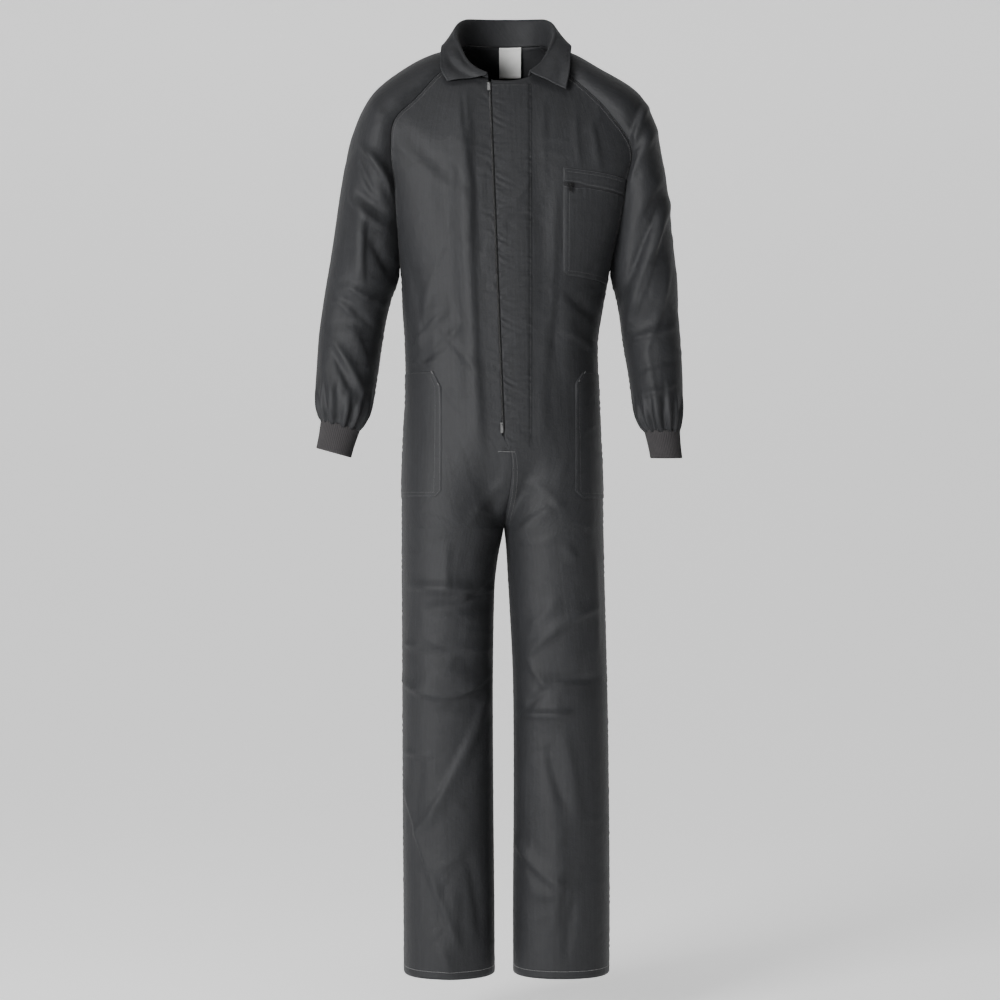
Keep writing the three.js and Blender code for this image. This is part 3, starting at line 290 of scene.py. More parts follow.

# Finer creases over them, from the cloth's lights and darks
FRONT_CREASES = table(FOLD, [
    (-69, -82, -59, -336, -4, 9, 4.6, -0.75),
    (-59, -294, -39, -663, 3, 8, 4.0, -0.7),
    (-72, -68, -52, -219, 2, 5, -2.4, 0.2),
    (-179, -122, -69, -229, 5, 16, -3.2, -0.3),
    (-186, -149, -62, -253, 4, 12, 2.2, 0.3),
    (-169, -336, -136, -495, -4, 9, -2.6, 0.4),
    (-133, -395, -143, -504, 4, 7, 2.2, 0.5),
    (-96, -433, -156, -497, 3, 6, 2.8, 0.6),
    (-72, -457, -146, -524, -3, 7, -2.4, 0.3),
    (-109, -464, -45, -541, 2, 6, 2.6, 0.5),
    (-163, -522, -116, -524, 1, 5, 2.2, 0.6),
    (-102, -567, -72, -608, 2, 6, 2.0, 0.4),
    (85, -249, 72, -504, -3, 8, 3.6, -0.6),
    (72, -470, 65, -638, 3, 9, 2.6, -0.4),
    (102, -407, 166, -450, 3, 10, -3.4, 0.3),
    (95, -470, 159, -507, -3, 8, 2.4, 0.5),
    (147, -122, 159, -196, -1, 5, 2.4, -0.4),
    (119, -105, 125, -186, 1, 5, 1.6, -0.3),
    (67, -85, 68, -236, 2, 6, 1.4, -0.3),
    (11, -715, -59, -788, 6, 9, 2.4, 0.4),
    (25, -722, 92, -765, -6, 9, 2.8, 0.4),
    (-154, -903, -22, -907, 2, 6.4, 5.7, 0.8),
    (-96, -836, -95, -910, 1, 5.6, 3.2, -0.5),
    (-137, -940, -32, -934, -2, 9.6, -4.9, -0.2),
    (-22, -897, -63, -924, 2, 4.8, -3.8, 0.2),
    (-172, -999, -137, -1004, 1, 4, 4.1, 0.6),
    (-137, -991, -36, -1011, 3, 8, 3.2, 0.5),
    (-172, -1068, -32, -1058, 24, 6.4, 5.7, 0.8),
    (-110, -1112, -29, -1075, 4, 8.8, -3.8, 0.2),
    (-172, -1185, -127, -1188, 1, 4, 3.5, 0.6),
    (-29, -1075, -147, -1314, -10, 8.8, 5.4, 0.6),
    (-143, -1193, -157, -1311, 0, 10.4, -4.6, 0.1),
    (-170, -1254, -83, -1503, 5, 5.6, 4.9, 0.7),
    (-83, -1422, -83, -1513, 0, 7.2, 4.3, -0.6),
    (-63, -1362, -42, -1496, -4, 9.6, -3.8, 0.2),
    (-110, -1513, -89, -1560, 0, 8, 2.7, -0.3),
    (89, -763, 12, -819, 5, 10, 3.2, 0.6),
    (103, -831, 119, -856, 0, 6.4, 3.0, -0.3),
    (39, -1018, 150, -940, -8, 9.6, 5.7, 0.7),
    (42, -974, 86, -924, 0, 9.6, 3.5, -0.3),
    (79, -1055, 153, -1058, 2, 4.8, -4.6, 0.4),
    (39, -1028, 72, -1075, 2, 5.6, 4.3, 0.5),
    (72, -1072, 35, -1105, 2, 5.6, -3.8, 0.3),
    (32, -1119, 113, -1116, 2, 4.8, 5.7, 0.9),
    (72, -1163, 99, -1271, 3, 8, -4.3, 0.2),
    (103, -1159, 126, -1311, -4, 9.6, 3.5, -0.4),
    (18, -1338, 93, -1409, 6, 8.8, 5.1, 0.5),
    (96, -1389, 86, -1480, 0, 7.2, 4.1, -0.5),
    (116, -1429, 103, -1530, 2, 8, -3.5, 0.2),
    (153, -856, 157, -1008, 0, 6.4, 2.7, -0.3),
])
BACK_CREASES = table(FOLD, [
    (-120, -90, -70, -330, 6, 8, 3.6, 0.5),
    (-146, -150, -84, -252, 5, 9, -2.8, 0.2),
    (118, -100, 82, -300, -6, 8, 3.6, -0.5),
    (142, -170, 96, -262, -4, 7, 2.8, -0.5),
    (-150, -300, -90, -372, 5, 7, 4.0, 0.6),
    (-158, -338, -112, -396, 3, 6, 3.0, 0.5),
    (150, -320, 84, -392, -5, 7, 4.0, -0.6),
    (-60, -240, -48, -452, -4, 9, 2.6, -0.4),
    (52, -280, 40, -470, 3, 9, 2.4, 0.4),
    (-140, -476, 60, -498, 12, 7, 4.4, 0.6),
    (-70, -536, 140, -516, -10, 8, -3.8, 0.4),
    (60, -470, 148, -452, 4, 6, 3.4, 0.6),
    (-144, -596, -20, -620, 8, 7, 3.8, 0.6),
    (26, -580, 146, -604, -8, 7, 3.4, 0.6),
    (-150, -560, -96, -548, 2, 5, 3.0, 0.6),
    (-144, -836, -20, -792, 12, 8, 5.2, 0.7),
    (22, -800, 150, -850, 12, 8, 5.6, 0.7),
    (-156, -884, -44, -862, 8, 7, -3.8, 0.4),
    (34, -876, 120, -912, 6, 8, -3.8, 0.4),
    (-158, -934, -84, -918, 3, 5, 4.2, 0.7),
    (96, -936, 156, -948, 2, 5, 4.0, 0.7),
    (-164, -1052, -34, -1090, 14, 7, 5.2, 0.7),
    (34, -1070, 166, -1040, 12, 7, 5.4, 0.7),
    (-160, -1124, -50, -1150, -8, 8, -3.8, 0.4),
    (50, -1120, 160, -1136, -8, 7, 4.4, 0.7),
    (-150, -1010, -120, -1034, 1, 5, 3.8, 0.6),
    (-146, -1196, -62, -1440, -10, 8, 4.6, 0.6),
    (70, -1180, 132, -1420, 8, 8, 4.6, -0.6),
    (-62, -1330, -40, -1500, 4, 9, 3.2, 0.4),
    (42, -1290, 64, -1490, -4, 9, 3.4, -0.4),
    (-132, -1386, -110, -1530, 2, 8, -3.4, 0.3),
    (122, -1440, 108, -1544, 2, 7, 3.0, 0.4),
])
SLEEVE_CREASES = {
    "left": table(FOLD, [
        (244, -84, 215, -165, 2, 4.9, 5.7, -0.6),
        (230, -80, 205, -155, 0, 4.1, -3.4, 0.2),
        (256, -128, 205, -229, 4, 7.4, 4.4, -0.4),
        (269, -206, 229, -270, 2, 6.6, 3.4, -0.3),
        (281, -253, 208, -460, 5, 6.6, 6.5, -0.6),
        (269, -240, 198, -416, 3, 7.4, -4.7, 0.2),
        (263, -290, 219, -446, -4, 4.9, 3.9, -0.5),
        (280, -352, 239, -504, -6, 6.6, 3.4, -0.4),
        (215, -480, 290, -460, 4, 6.6, 3.6, 0.5),
        (222, -538, 293, -518, -4, 7.4, -3.1, 0.3),
        (229, -579, 290, -558, 3, 5.7, 3.1, 0.5),
        (242, -501, 263, -602, 3, 7.4, 2.6, -0.3),
    ]),
    "right": table(FOLD, [
        (-243, -158, -188, -246, -5, 5.7, 6.2, 0.6),
        (-249, -175, -219, -240, 3, 5.7, -5.2, 0.2),
        (-263, -240, -205, -294, 7, 7.4, 5.7, 0.6),
        (-253, -229, -202, -270, 2, 8.2, -4.9, 0.2),
        (-239, -287, -241, -389, 2, 6.6, 5.7, -0.6),
        (-226, -314, -192, -375, 0, 9.8, -5.2, 0.2),
        (-263, -396, -229, -416, 2, 4.9, 4.2, 0.6),
        (-293, -416, -259, -443, -2, 5.7, 3.4, 0.5),
        (-280, -409, -226, -460, 0, 6.6, -3.1, 0.3),
        (-297, -480, -239, -582, -4, 6.6, 4.7, 0.4),
        (-293, -504, -259, -572, 0, 6.6, -3.9, 0.3),
        (-256, -467, -229, -538, 0, 7.4, 3.1, -0.4),
        (-310, -511, -290, -585, 2, 6.6, 2.9, -0.3),
    ]),
}

# Rows of stitches, by how far in from a seam or an edge they run
SEAM_ROWS = (1.8, 7.6)
HEM_ROW = 13.0
POCKET_ROWS = (2.0, 8.0)
BAND_ROWS = (2.0, 7.0)
EDGE_ROW = (2.0,)
COLLAR_ROW = 5.0
COLLAR_SEAM_ROW = 4.0

# Bar of stitches below the fly, how far it reaches to both sides, and the pockets' bar tacks
BAR_Z = -674.0
BAR_REACH = {"right": -22.0, "left": 10.0}
TACK_LENGTH = 7.0
TACK_WIDTH = 2.4
TACK_THREADS = 14

# Zip: the slot between the fronts, wide beside a slider and else a slit, its teeth as half
# sizes and its tape. Fly: its edges, its rows of stitches, how deep it starts and its height
ZIP_SLOT = 5.0
ZIP_SLIT = 3.2
SLIDER_HEIGHTS = (-56.0, -633.0)
ZIP_TOP_Z = -50.0
ZIP_END_Z = -640.0
ZIP_PITCH = 2.4
TOOTH = (1.45, 0.75, 0.45)
TOOTH_ASIDE = 0.75
TOOTH_FORWARD = 0.7
TOOTH_EDGE = 0.18
TAPE_DEPTH = 2.9
TAPE_LINES = (-13.0, -7.0, -2.4, -1.4, 0.0, 1.4, 2.4, 7.0, 13.0)
FLY_EDGE = 1.2
FLY_FOOT_X = -2.8
FLY_SEWN_X = 51.0
FLY_ROWS = (4.0, 9.0)
FLY_TOP_ROW = 4.0
FLY_SINK = -0.8
FLY_RISE = 3.1
FLY_TOP_Z = -51.0
FLY_END_Z = -672.0

# Chest pocket: its inner top corner, how its top and foot slope over its width, its band
CHEST = {"inner": 97.0, "top": -197.0, "slope": -15.0, "depth": 181.0, "foot_slope": -9.0,
         "corner": 8.0, "end": 0.97, "narrowing": 0.07, "band": 24.0, "zip": 7.0,
         "width": 110.0}

# Side pockets, from their front edge to the side seam
SIDE_POCKET = {
    "left": {"front": 118.0, "top": -538.0, "mouth": 20.0, "mouth_x": 131.0, "foot": -752.0,
             "cut": 12.0},
    "right": {"front": -107.0, "top": -538.0, "mouth": 27.0, "mouth_x": -121.0, "foot": -750.0,
              "cut": 10.0},
}
SIDE_POCKET_END = 0.985
SIDE_POCKET_WIDTH = 95.0

# Collar: rise of its roll over the neck seam and where its outer edge lies, by the angle
# round the neck from the middle of the front
ROLL = 3.2
COLLAR_GAP = 0.9
COLLAR_IN = 0.4
COLLAR = {
    "left": table("angle lean rise x y z", [
        (29, 2, 5, 103, -90, -62),
        (45, 3, 10, 109, -83, -32),
        (65, 5, 21, 111, -62, -5),
        (90, 5, 32, 112, -22, 24),
        (130, 5, 43, 90, 62, 32),
        (180, 7, 46, 0, 88, 32),
    ]),
    "right": table("angle lean rise x y z", [
        (20, 2, 5, 98, -82, -47),
        (45, 3, 10, 109, -76, -26),
        (65, 5, 21, 110, -60, -4),
        (90, 5, 30, 107, -22, 24),
        (130, 5, 43, 90, 62, 32),
        (180, 7, 46, 0, 88, 32),
    ]),
}

# Label: its place and size, how far inside the back it lies, how much it bends and swells, and
# the length of its turned ends
LABEL_X = 9.0
LABEL_WIDTH = 38.0
LABEL_LENGTH = 50.0
LABEL_IN = 4.0
LABEL_BEND = 0.006
LABEL_SWELL = 0.9
LABEL_TURN = 5.5

# Fineness of the grids, and the steps from a turned edge
YOKE_LEVELS = np.linspace(0, 1, 91)
TRUNK_LEVELS = np.linspace(1, 2, 67)[1:]
FORK_LEVELS = np.linspace(2, 3, 45)[1:]
LEG_LEVELS = np.linspace(3, 4, 161)[1:]
BODY_LEVELS = np.concatenate([YOKE_LEVELS, TRUNK_LEVELS, FORK_LEVELS, LEG_LEVELS])
SLEEVE_LEVELS = np.concatenate([YOKE_LEVELS, np.linspace(1, 2, 76)[1:]])
TURNED_STEPS = (0.15, 0.4, 0.8, 1.4, 2.2, 3.4)


def smooth(value, low, high):
    """Smooth step from 0 at low to 1 at high."""
    s = np.clip((value - low) / (high - low), 0, 1)
    return s * s * (3 - 2 * s)


def between(rows, by, at, column):
    """A column's value at places between the rows, on a cubic curve through them."""
    places, values = rows[by], rows[column]
    if places[-1] < places[0]:
        places, values = places[::-1], values[::-1]
    slopes = np.empty_like(values)
    slopes[1:-1] = (values[2:] - values[:-2]) / (places[2:] - places[:-2])
    slopes[[0, -1]] = np.diff(values)[[0, -1]] / np.diff(places)[[0, -1]]
    i = np.clip(np.searchsorted(places, at, side="right") - 1, 0, len(places) - 2)
    step = places[i + 1] - places[i]
    s = np.clip((at - places[i]) / step, 0, 1)
    rest = 1 - s
    ends = values[i] * (1 + 2 * s) * rest**2 + values[i + 1] * s**2 * (3 - 2 * s)
    return ends + (slopes[i] * rest - slopes[i + 1] * s) * step * s * rest


def across(angle, square):
    """Sideways part of a squarish oval: sin a (1 + k cos^2 a)."""
    return np.sin(angle) * (1 + square * np.cos(angle) ** 2)


def outward(angle, square):
    """Depth of a squarish oval: cos a (1 + k sin^2 a)."""
    return np.cos(angle) * (1 + square * np.sin(angle) ** 2)


def stacked(x, y, z):
    """Points from their coordinates."""
    return np.stack(np.broadcast_arrays(x, y, z), axis=-1)


def fold_rise(folds, x, z):
    """Rise of all folds of a table at places seen square on. Each is a Gaussian ridge round a
    bowed line, exp(-(d / breadth)^2), steeper on one side by its skew, and fades at its ends."""
    rise = np.zeros_like(x)
    rows = zip(*(folds[name] for name in FOLD.split()))
    for from_x, from_z, to_x, to_z, bow, breadth, height, skew in rows:
        along_x, along_z = to_x - from_x, to_z - from_z
        length = math.hypot(along_x, along_z)
        s = ((x - from_x) * along_x + (z - from_z) * along_z) / length**2
        away = ((x - from_x) * along_z - (z - from_z) * along_x) / length
        away = away - bow * (1 - (2 * s - 1) ** 2)
        away = away * np.where(away > 0, 1 + skew, 1 - 0.5 * skew)
        ends = smooth(np.minimum(s, 1 - s), -0.2, 0.25)
        rise += height * ends * np.exp(-((away / breadth) ** 2))
    return rise


def scattered(seed, count, box, heading, spread, length, breadth, rise):
    """Table of small creases strewn over a box of x and z, all from one seeded stream."""
    stream = np.random.default_rng(seed)
    low_x, low_z, high_x, high_z = box
    x = stream.uniform(low_x, high_x, count)
    z = stream.uniform(low_z, high_z, count)
    turn = np.radians(heading + spread * stream.standard_normal(count))
    reach = length * stream.uniform(0.5, 1.5, count)
    columns = [
        x, z, x + reach * np.cos(turn), z + reach * np.sin(turn),
        0.12 * reach * stream.standard_normal(count),
        breadth * stream.uniform(0.6, 1.5, count),
        rise * stream.uniform(0.4, 1.2, count) * stream.choice([-1, 1, 1], count),
        stream.uniform(0, 0.7, count),
    ]
    return dict(zip(FOLD.split(), columns))


def sign_of(side):
    """Way of a side along x."""
    return 1 if side == "left" else -1


def seam_point(face, side, at):
    """Raglan seam of the front or the back, at shares of its way to the armpit."""
    rows = FRONT_SEAM[side] if face == "front" else BACK_SEAM
    x, y, z = (between(rows, "at", at, name) for name in "xyz")
    return stacked(x * sign_of(side), y, z)


def middle_line(face, at):
    """Height and depth of the middle of a face over the shoulders."""
    rows = FRONT_LINE if face == "front" else BACK_LINE
    z = rows["z"][0] + (ARMPIT_Z - rows["z"][0]) * at
    return z, between(rows, "z", z, "y")


def angle_at(x, left, right, reach):
    """Angle round a section at which it lies at x, between its two edges."""
    sine = x / np.where(x < 0, right, left) * across(reach, TRUNK_SQUARE)
    angle = np.arcsin(np.clip(sine, -1, 1))
    for _ in range(4):
        here = across(angle, TRUNK_SQUARE)
        angle = angle * np.where(np.abs(here) > 1e-9, sine / np.where(here == 0, 1, here), 1)
    return angle


def slot_at(z):
    """Half of the slot between the fronts: as wide as a slider beside one, else a slit."""
    away = np.minimum.reduce([np.abs(z - height) for height in SLIDER_HEIGHTS])
    half = ZIP_SLOT / 2 + (ZIP_SLIT - ZIP_SLOT) / 2 * smooth(away, 10, 22)
    return half * (1 - smooth(-z, -ZIP_END_Z + 4, -ZIP_END_Z + 18))


def fork(z):
    """Share of the way from the hips down to the crotch."""
    return np.clip((z - HIP_Z) / (CROTCH_Z - HIP_Z), 0, 1)


def yoke_points(face, side, share, at):
    """A face over the shoulders: an arc x = edge across(a) / across(reach) from the middle of
    the body to its raglan seam, which rises with the square of the angle."""
    rows = FRONT_REACH if face == "front" else BACK_REACH
    reach = np.radians(between(rows, "at", at, "angle"))
    z, y = middle_line(face, at)
    middle = between(FRONT_MIDDLE, "z", z, "x") if face == "front" else 0
    aside = slot_at(z) if face == "front" else 0
    left, right = seam_point(face, "left", at), seam_point(face, "right", at)
    sign = sign_of(side)
    start = angle_at(middle + aside * sign, np.abs(left[..., 0]), np.abs(right[..., 0]), reach)
    angle = start + (reach * sign - start) * share
    edge = np.where((angle < 0)[..., None], right, left)
    depth = (edge[..., 1] - y) / (1 - outward(reach, TRUNK_SQUARE))
    x = np.abs(edge[..., 0]) * across(angle, TRUNK_SQUARE) / across(reach, TRUNK_SQUARE)
    y = y + depth * (1 - outward(angle, TRUNK_SQUARE))
    return stacked(x, y, z + (edge[..., 2] - z) * (angle / reach) ** 2)


def trunk_points(face, side, share, z):
    """A face of the trunk below the armpit, as half of a squarish oval."""
    quarter = math.pi / 2
    sign = sign_of(side)
    left, right = between(TRUNK, "z", z, "left"), between(TRUNK, "z", z, "right")
    middle = between(FRONT_MIDDLE, "z", z, "x") if face == "front" else -2 * fork(z)
    aside = slot_at(z) if face == "front" else 0
    start = angle_at(middle + aside * sign, left, right, quarter)
    angle = start + (quarter * sign - start) * share
    x = np.where(angle < 0, right, left) * across(angle, TRUNK_SQUARE)
    y = between(TRUNK, "z", z, face) * outward(angle, TRUNK_SQUARE)
    return stacked(x, -y if face == "front" else y, z)


def leg_points(face, side, share, z):
    """A face of a leg, half of a squarish oval from its inseam to its outer seam."""
    rows = LEG[side]
    at = np.minimum(z, CROTCH_Z)
    inner, outer = between(rows, "z", at, "inner"), between(rows, "z", at, "outer")
    angle = (share * (1 + LEG_COLUMN_SHIFT * (1 - share)) - 0.5) * math.pi
    x = (inner + outer) / 2 + (outer - inner) / 2 * across(angle, LEG_SQUARE)
    depth = between(rows, "z", at, face) * outward(angle, LEG_SQUARE)
    y = between(rows, "z", at, "y") + (-depth if face == "front" else depth)
    return stacked(x * sign_of(side), y, z)


def panel_base(face, side, share, level):
    """A body panel with its largest folds. Levels 0 to 1 are the yoke, to 2 the trunk, to 3
    the fork, where the trunk's half turns into a leg, and to 4 the leg."""
    share, level = np.broadcast_arrays(np.asarray(share, float), np.asarray(level, float))
    point = yoke_points(face, side, share, np.clip(level, 0, 1))
    z = ARMPIT_Z + (HIP_Z - ARMPIT_Z) * np.clip(level - 1, 0, 1)
    turn = np.clip(level - 2, 0, 1) * math.pi / 2
    z = np.where(level > 2, HIP_Z + (CROTCH_Z - HIP_Z) * np.sin(turn), z)
    trunk = trunk_points(face, side, share, z)
    low = np.where(level > 3, CROTCH_Z + (HEM_Z - CROTCH_Z) * (level - 3), z)
    leg = leg_points(face, side, share, low)
    eased = smooth(np.sin(turn), 0, 1)
    quarter = 1 - np.cos(turn)
    blend = quarter + (eased - quarter) * smooth(share, 0, 0.25)
    lower = trunk + (leg - trunk) * blend[..., None]
    lower = np.where((level > 3)[..., None], leg, lower)
    point = np.where((level > 1)[..., None], lower, point)
    folds = FRONT_FOLDS if face == "front" else BACK_FOLDS
    near = smooth(1 - share, 0, 0.18) * np.where(level < 2.6, 1, smooth(share, 0, 0.2))
    rise = fold_rise(folds, point[..., 0], point[..., 2]) * near
    point[..., 1] += -rise if face == "front" else rise
    return point


def sleeve_base(side, share, level):
    """A sleeve with its largest folds: a ring from its front seam over the shoulder to its
    back seam, the point at angle a lying at lerp(inner, outer) + depth sin a. Levels 0 to 1
    lie between the raglan seams, and on to 2 the arm is closed."""
    share, level = np.broadcast_arrays(np.asarray(share, float), np.asarray(level, float))
    sign = sign_of(side)
    at = np.clip(level, 0, 1)
    front, back = seam_point("front", side, at), seam_point("back", side, at)
    inner = (front + back) / 2
    outer = stacked(between(SHOULDER, "at", at, side) * sign, 0, between(SHOULDER, "at", at, "z"))
    opening = np.radians(between(SHOULDER, "at", at, "opening"))
    deep = (front - inner) / np.maximum(np.sin(opening), 1e-6)[..., None]
    deep = deep + (np.array([0, -ARMPIT_HALF_DEPTH, 0]) - deep) * smooth(at, 0.85, 0.99)[..., None]
    rows = ARM[side]
    z = rows["z"][0] + (rows["z"][-1] - rows["z"][0]) * np.clip(level - 1, 0, 1)
    y, lift = between(rows, "z", z, "y"), between(rows, "z", z, "lift")
    arm = (level > 1)[..., None]
    inner = np.where(arm, stacked(between(rows, "z", z, "inner") * sign, y, z - lift), inner)
    outer = np.where(arm, stacked(between(rows, "z", z, "outer") * sign, y, z + lift), outer)
    deep = np.where(arm, stacked(0, -between(rows, "z", z, "depth"), 0), deep)
    opening = np.where(level > 1, math.pi, opening)
    angle = opening * (1 - 2 * share)
    reach = (np.cos(angle) - np.cos(opening)) / (1 - np.cos(opening))
    point = inner + (outer - inner) * reach[..., None] + deep * np.sin(angle)[..., None]
    away = smooth(np.minimum(share, 1 - share), 0, 0.08)
    facing = np.abs(np.sin(angle)) * away
    rise = fold_rise(SLEEVE_FOLDS[side], point[..., 0], point[..., 2]) * facing
    point[..., 1] += np.where(share < 0.5, -rise, rise * 0.8)
    return point


def normals_of(base, share, level, flip):
    """Unit normals of a surface, from its slopes along both parameters."""
    step = 1e-3
    one = base(np.minimum(share + step, 1), level) - base(np.maximum(share - step, 0), level)
    top = np.max(level)
    other = base(share, np.minimum(level + step, top)) - base(share, np.maximum(level - step, 0))
    normal = np.cross(one, other)
    length = np.linalg.norm(normal, axis=-1, keepdims=True)
    return normal / np.maximum(length, 1e-12) * (-1 if flip else 1)


def eased_over(base, share, level, joins, reach):
    """A surface with its bends at some levels rounded: a mean of three places, which lie apart
    only near them."""
    level = np.asarray(level, float)
    apart = sum(reach * np.exp(-(((level - join) / (1.3 * reach)) ** 2)) for join in joins)
    low, high = np.maximum(level - apart, 0), np.minimum(level + apart, joins[-1] + 1)
    return (base(share, low) + 2 * base(share, level) + base(share, high)) / 4


def run_along(points, axis):
    """Distance run along an axis of a grid, from its first row or column."""
    steps = np.linalg.norm(np.diff(points, axis=axis), axis=-1)
    start = np.zeros_like(np.take(steps, [0], axis=axis))
    return np.concatenate([start, np.cumsum(steps, axis=axis)], axis=axis)


def along_path(at, run, points):
    """Points of a path at distances run along it."""
    return np.stack([np.interp(at, run, column) for column in points.T], axis=1)


def pucker(distance, along, seed, rise, reach=14.0, wave=15.0, lean=0.0):
    """Small waves that a seam draws into the cloth beside it: sines of uneven length along it,
    which slant by the lean and fade with the distance from it."""
    stream = np.random.default_rng(seed)
    phase = stream.uniform(0, 2 * math.pi, 4)
    turn = (along + lean * distance) / wave * 2 * math.pi
    swing = np.sin(turn / 2.7 + phase[0])
    swell = np.sin(turn + phase[1] + 1.4 * swing)
    fine = 0.5 * np.sin(turn * 1.9 + phase[2] - 0.8 * swing)
    patchy = 0.6 + 0.4 * np.sin(turn / 6.3 + phase[3])
    fade = np.exp(-distance / reach) * smooth(distance, 0, 4)
    return rise * (swell + fine) * fade * patchy


def row_groove(distance, rows, deep=0.35):
    """Groove that rows of stitches press into the cloth at distances from its edge."""
    return -deep * sum(np.exp(-(((distance - row) / 1.3) ** 2)) for row in rows)


def seam_welt(distance, high=1.0):
    """Low ridge of folded cloth beside a seam: nothing at the seam itself, highest a few mm from
    it and gone after 20 mm, (1 - exp(-(d / 1.6)^2)) exp(-(d / 10)^2)."""
    return high * (1 - np.exp(-((distance / 1.6) ** 2))) * np.exp(-((distance / 10.0) ** 2))


class Surface:
    """A cloth surface of share and level: a plain surface with its bends at the joins rounded,
    moved along its normals by a relief."""

    def base(self, share, level):
        return eased_over(self.plain, share, level, self.joins, self.ease)

    def __call__(self, share, level):
        share, level = np.broadcast_arrays(np.asarray(share, float), np.asarray(level, float))
        point = self.base(share, level)
        normal = normals_of(self.base, share, level, self.flip)
        return point + normal * self.relief(share, level, point)[..., None]

    def normals(self, share, level):
        return normals_of(self, share, level, self.flip)


class Panel(Surface):
    """A body panel, with its fine creases and puckers. Small creases run across it and long
    ones down it, each kind strewn from its own seeded stream."""

    joins, ease = (1, 3), 0.035

    def __init__(self, face, side):
        self.face, self.side = face, side
        self.flip = (face == "front") == (side == "left")
        self.seed = {"front": 10, "back": 20}[face] + (side == "left")
        self.levels = np.linspace(0, 4, 161)
        grid = self.base(np.linspace(0, 1, 41)[None, :], self.levels[:, None])
        self.widths = run_along(grid, 1)[:, -1]
        self.drops = run_along(grid, 0)[:, 20]
        sign = sign_of(side)
        box = (min(0, sign * 175), -1540, max(0, sign * 175), -120)
        small = scattered(self.seed, 110, box, 8, 40, 48, 5.5, 0.75)
        long = scattered(self.seed + 40, 24, box, 84, 12, 130, 8, 0.9)
        self.small = {name: np.concatenate([small[name], long[name]]) for name in small}

    def plain(self, share, level):
        return panel_base(self.face, self.side, share, level)

    def width(self, level):
        """Girth of the panel at a level."""
        return np.interp(level, self.levels, self.widths)

    def drop(self, level):
        """Distance run down the panel to a level."""
        return np.interp(level, self.levels, self.drops)

    def relief(self, share, level, point):
        """Rise of the fine creases and of the puckers along the seams."""
        x, z = point[..., 0], point[..., 2]
        creases = FRONT_CREASES if self.face == "front" else BACK_CREASES
        rise = fold_rise(creases, x, z) + fold_rise(self.small, x, z)
        from_end = (1 - share) * self.width(level)
        from_start = share * self.width(level)
        free = smooth(from_end, 2, 26) * smooth(from_start, 1, 18)
        rise = rise * free * smooth(level, 0, 0.05)
        rise += row_groove(from_end, SEAM_ROWS, 0.3) + seam_welt(from_end)
        along = self.drop(level)
        rise += pucker(from_end, along, 7, 0.8)
        zipped = (self.face == "front") * (1 - smooth(level, 1.9, 2.1))
        rise += pucker(from_start, along, self.seed + 3, 0.5, 16)
        rise += pucker(from_start, along, self.seed + 4, 1.2, 11, 19, 0.5) * zipped
        hem = self.drop(4.0) - along
        rise += pucker(hem, share * self.width(level), self.seed + 5, 0.5, 12, 18)
        return rise

    def find(self, x, z):
        """Share and level of places seen square on, by Newton's method on the plain panel."""
        share = np.full(x.shape, 0.5)
        level = np.where(z > ARMPIT_Z, 0.6, 1 + (z - ARMPIT_Z) / (HIP_Z - ARMPIT_Z))
        small = 1e-4
        for _ in range(18):
            here = self.plain(share, level)
            by_share = (self.plain(share + small, level) - here) / small
            by_level = (self.plain(share, level + small) - here) / small
            off_x, off_z = x - here[..., 0], z - here[..., 2]
            size = by_share[..., 0] * by_level[..., 2] - by_level[..., 0] * by_share[..., 2]
            to_share = (off_x * by_level[..., 2] - by_level[..., 0] * off_z) / size
            to_level = (by_share[..., 0] * off_z - off_x * by_share[..., 2]) / size
            share = np.clip(share + 0.8 * to_share, -0.2, 0.999)
            level = np.clip(level + 0.8 * to_level, 0, 2.9)
        return share, level


class Sleeve(Surface):
    """A sleeve, with its creases and its gathers: cos(13 a) ridges round it, of uneven length,
    that grow towards the cuff."""

    joins, ease = (1,), 0.09

    def __init__(self, side):
        self.side = side
        self.flip = side == "left"
        self.seed = 30 + (side == "left")
        sign = sign_of(side)
        box = (min(sign * 200, sign * 300), -600, max(sign * 200, sign * 300), -110)
        self.small = scattered(self.seed, 46, box, 20 * -sign, 34, 48, 5, 0.8)

    def plain(self, share, level):
        return sleeve_base(self.side, share, level)

    def relief(self, share, level, point):
        """Rise of the creases, of the puckers and of the gathers into the cuff."""
        x, z = point[..., 0], point[..., 2]
        edge = np.minimum(share, 1 - share) * SLEEVE_GIRTH
        rise = fold_rise(SLEEVE_CREASES[self.side], x, z) + fold_rise(self.small, x, z)
        back = np.sin(math.pi * np.clip(share * 2 - 1, 0, 1))
        rise = rise * (1 - 0.35 * back) * smooth(edge, 2, 26) * smooth(level, 0.05, 0.2)
        rise += pucker(edge, level * SLEEVE_DROP, self.seed + 2, 0.8) + seam_welt(edge, 0.7)
        turn = share * 2 * math.pi
        uneven = 0.35 * np.sin(3 * turn + self.seed) + 0.25 * np.sin(5 * turn + 2 + self.seed)
        folds = np.cos(GATHERS * turn + 1.9 * uneven + 0.5)
        folds = np.sign(folds) * np.abs(folds) ** 0.7
        start = 1.72 + 0.12 * uneven + 0.05 * np.sin(GATHERS * turn)
        deep = smooth(level, start, 1.93) * (1 - 0.55 * smooth(level, 1.96, 2))
        seamless = smooth(np.minimum(share, 1 - share), 0, 0.03)
        return rise * (1 - 0.6 * smooth(level, 1.8, 2)) + GATHER_RISE * folds * deep * seamless


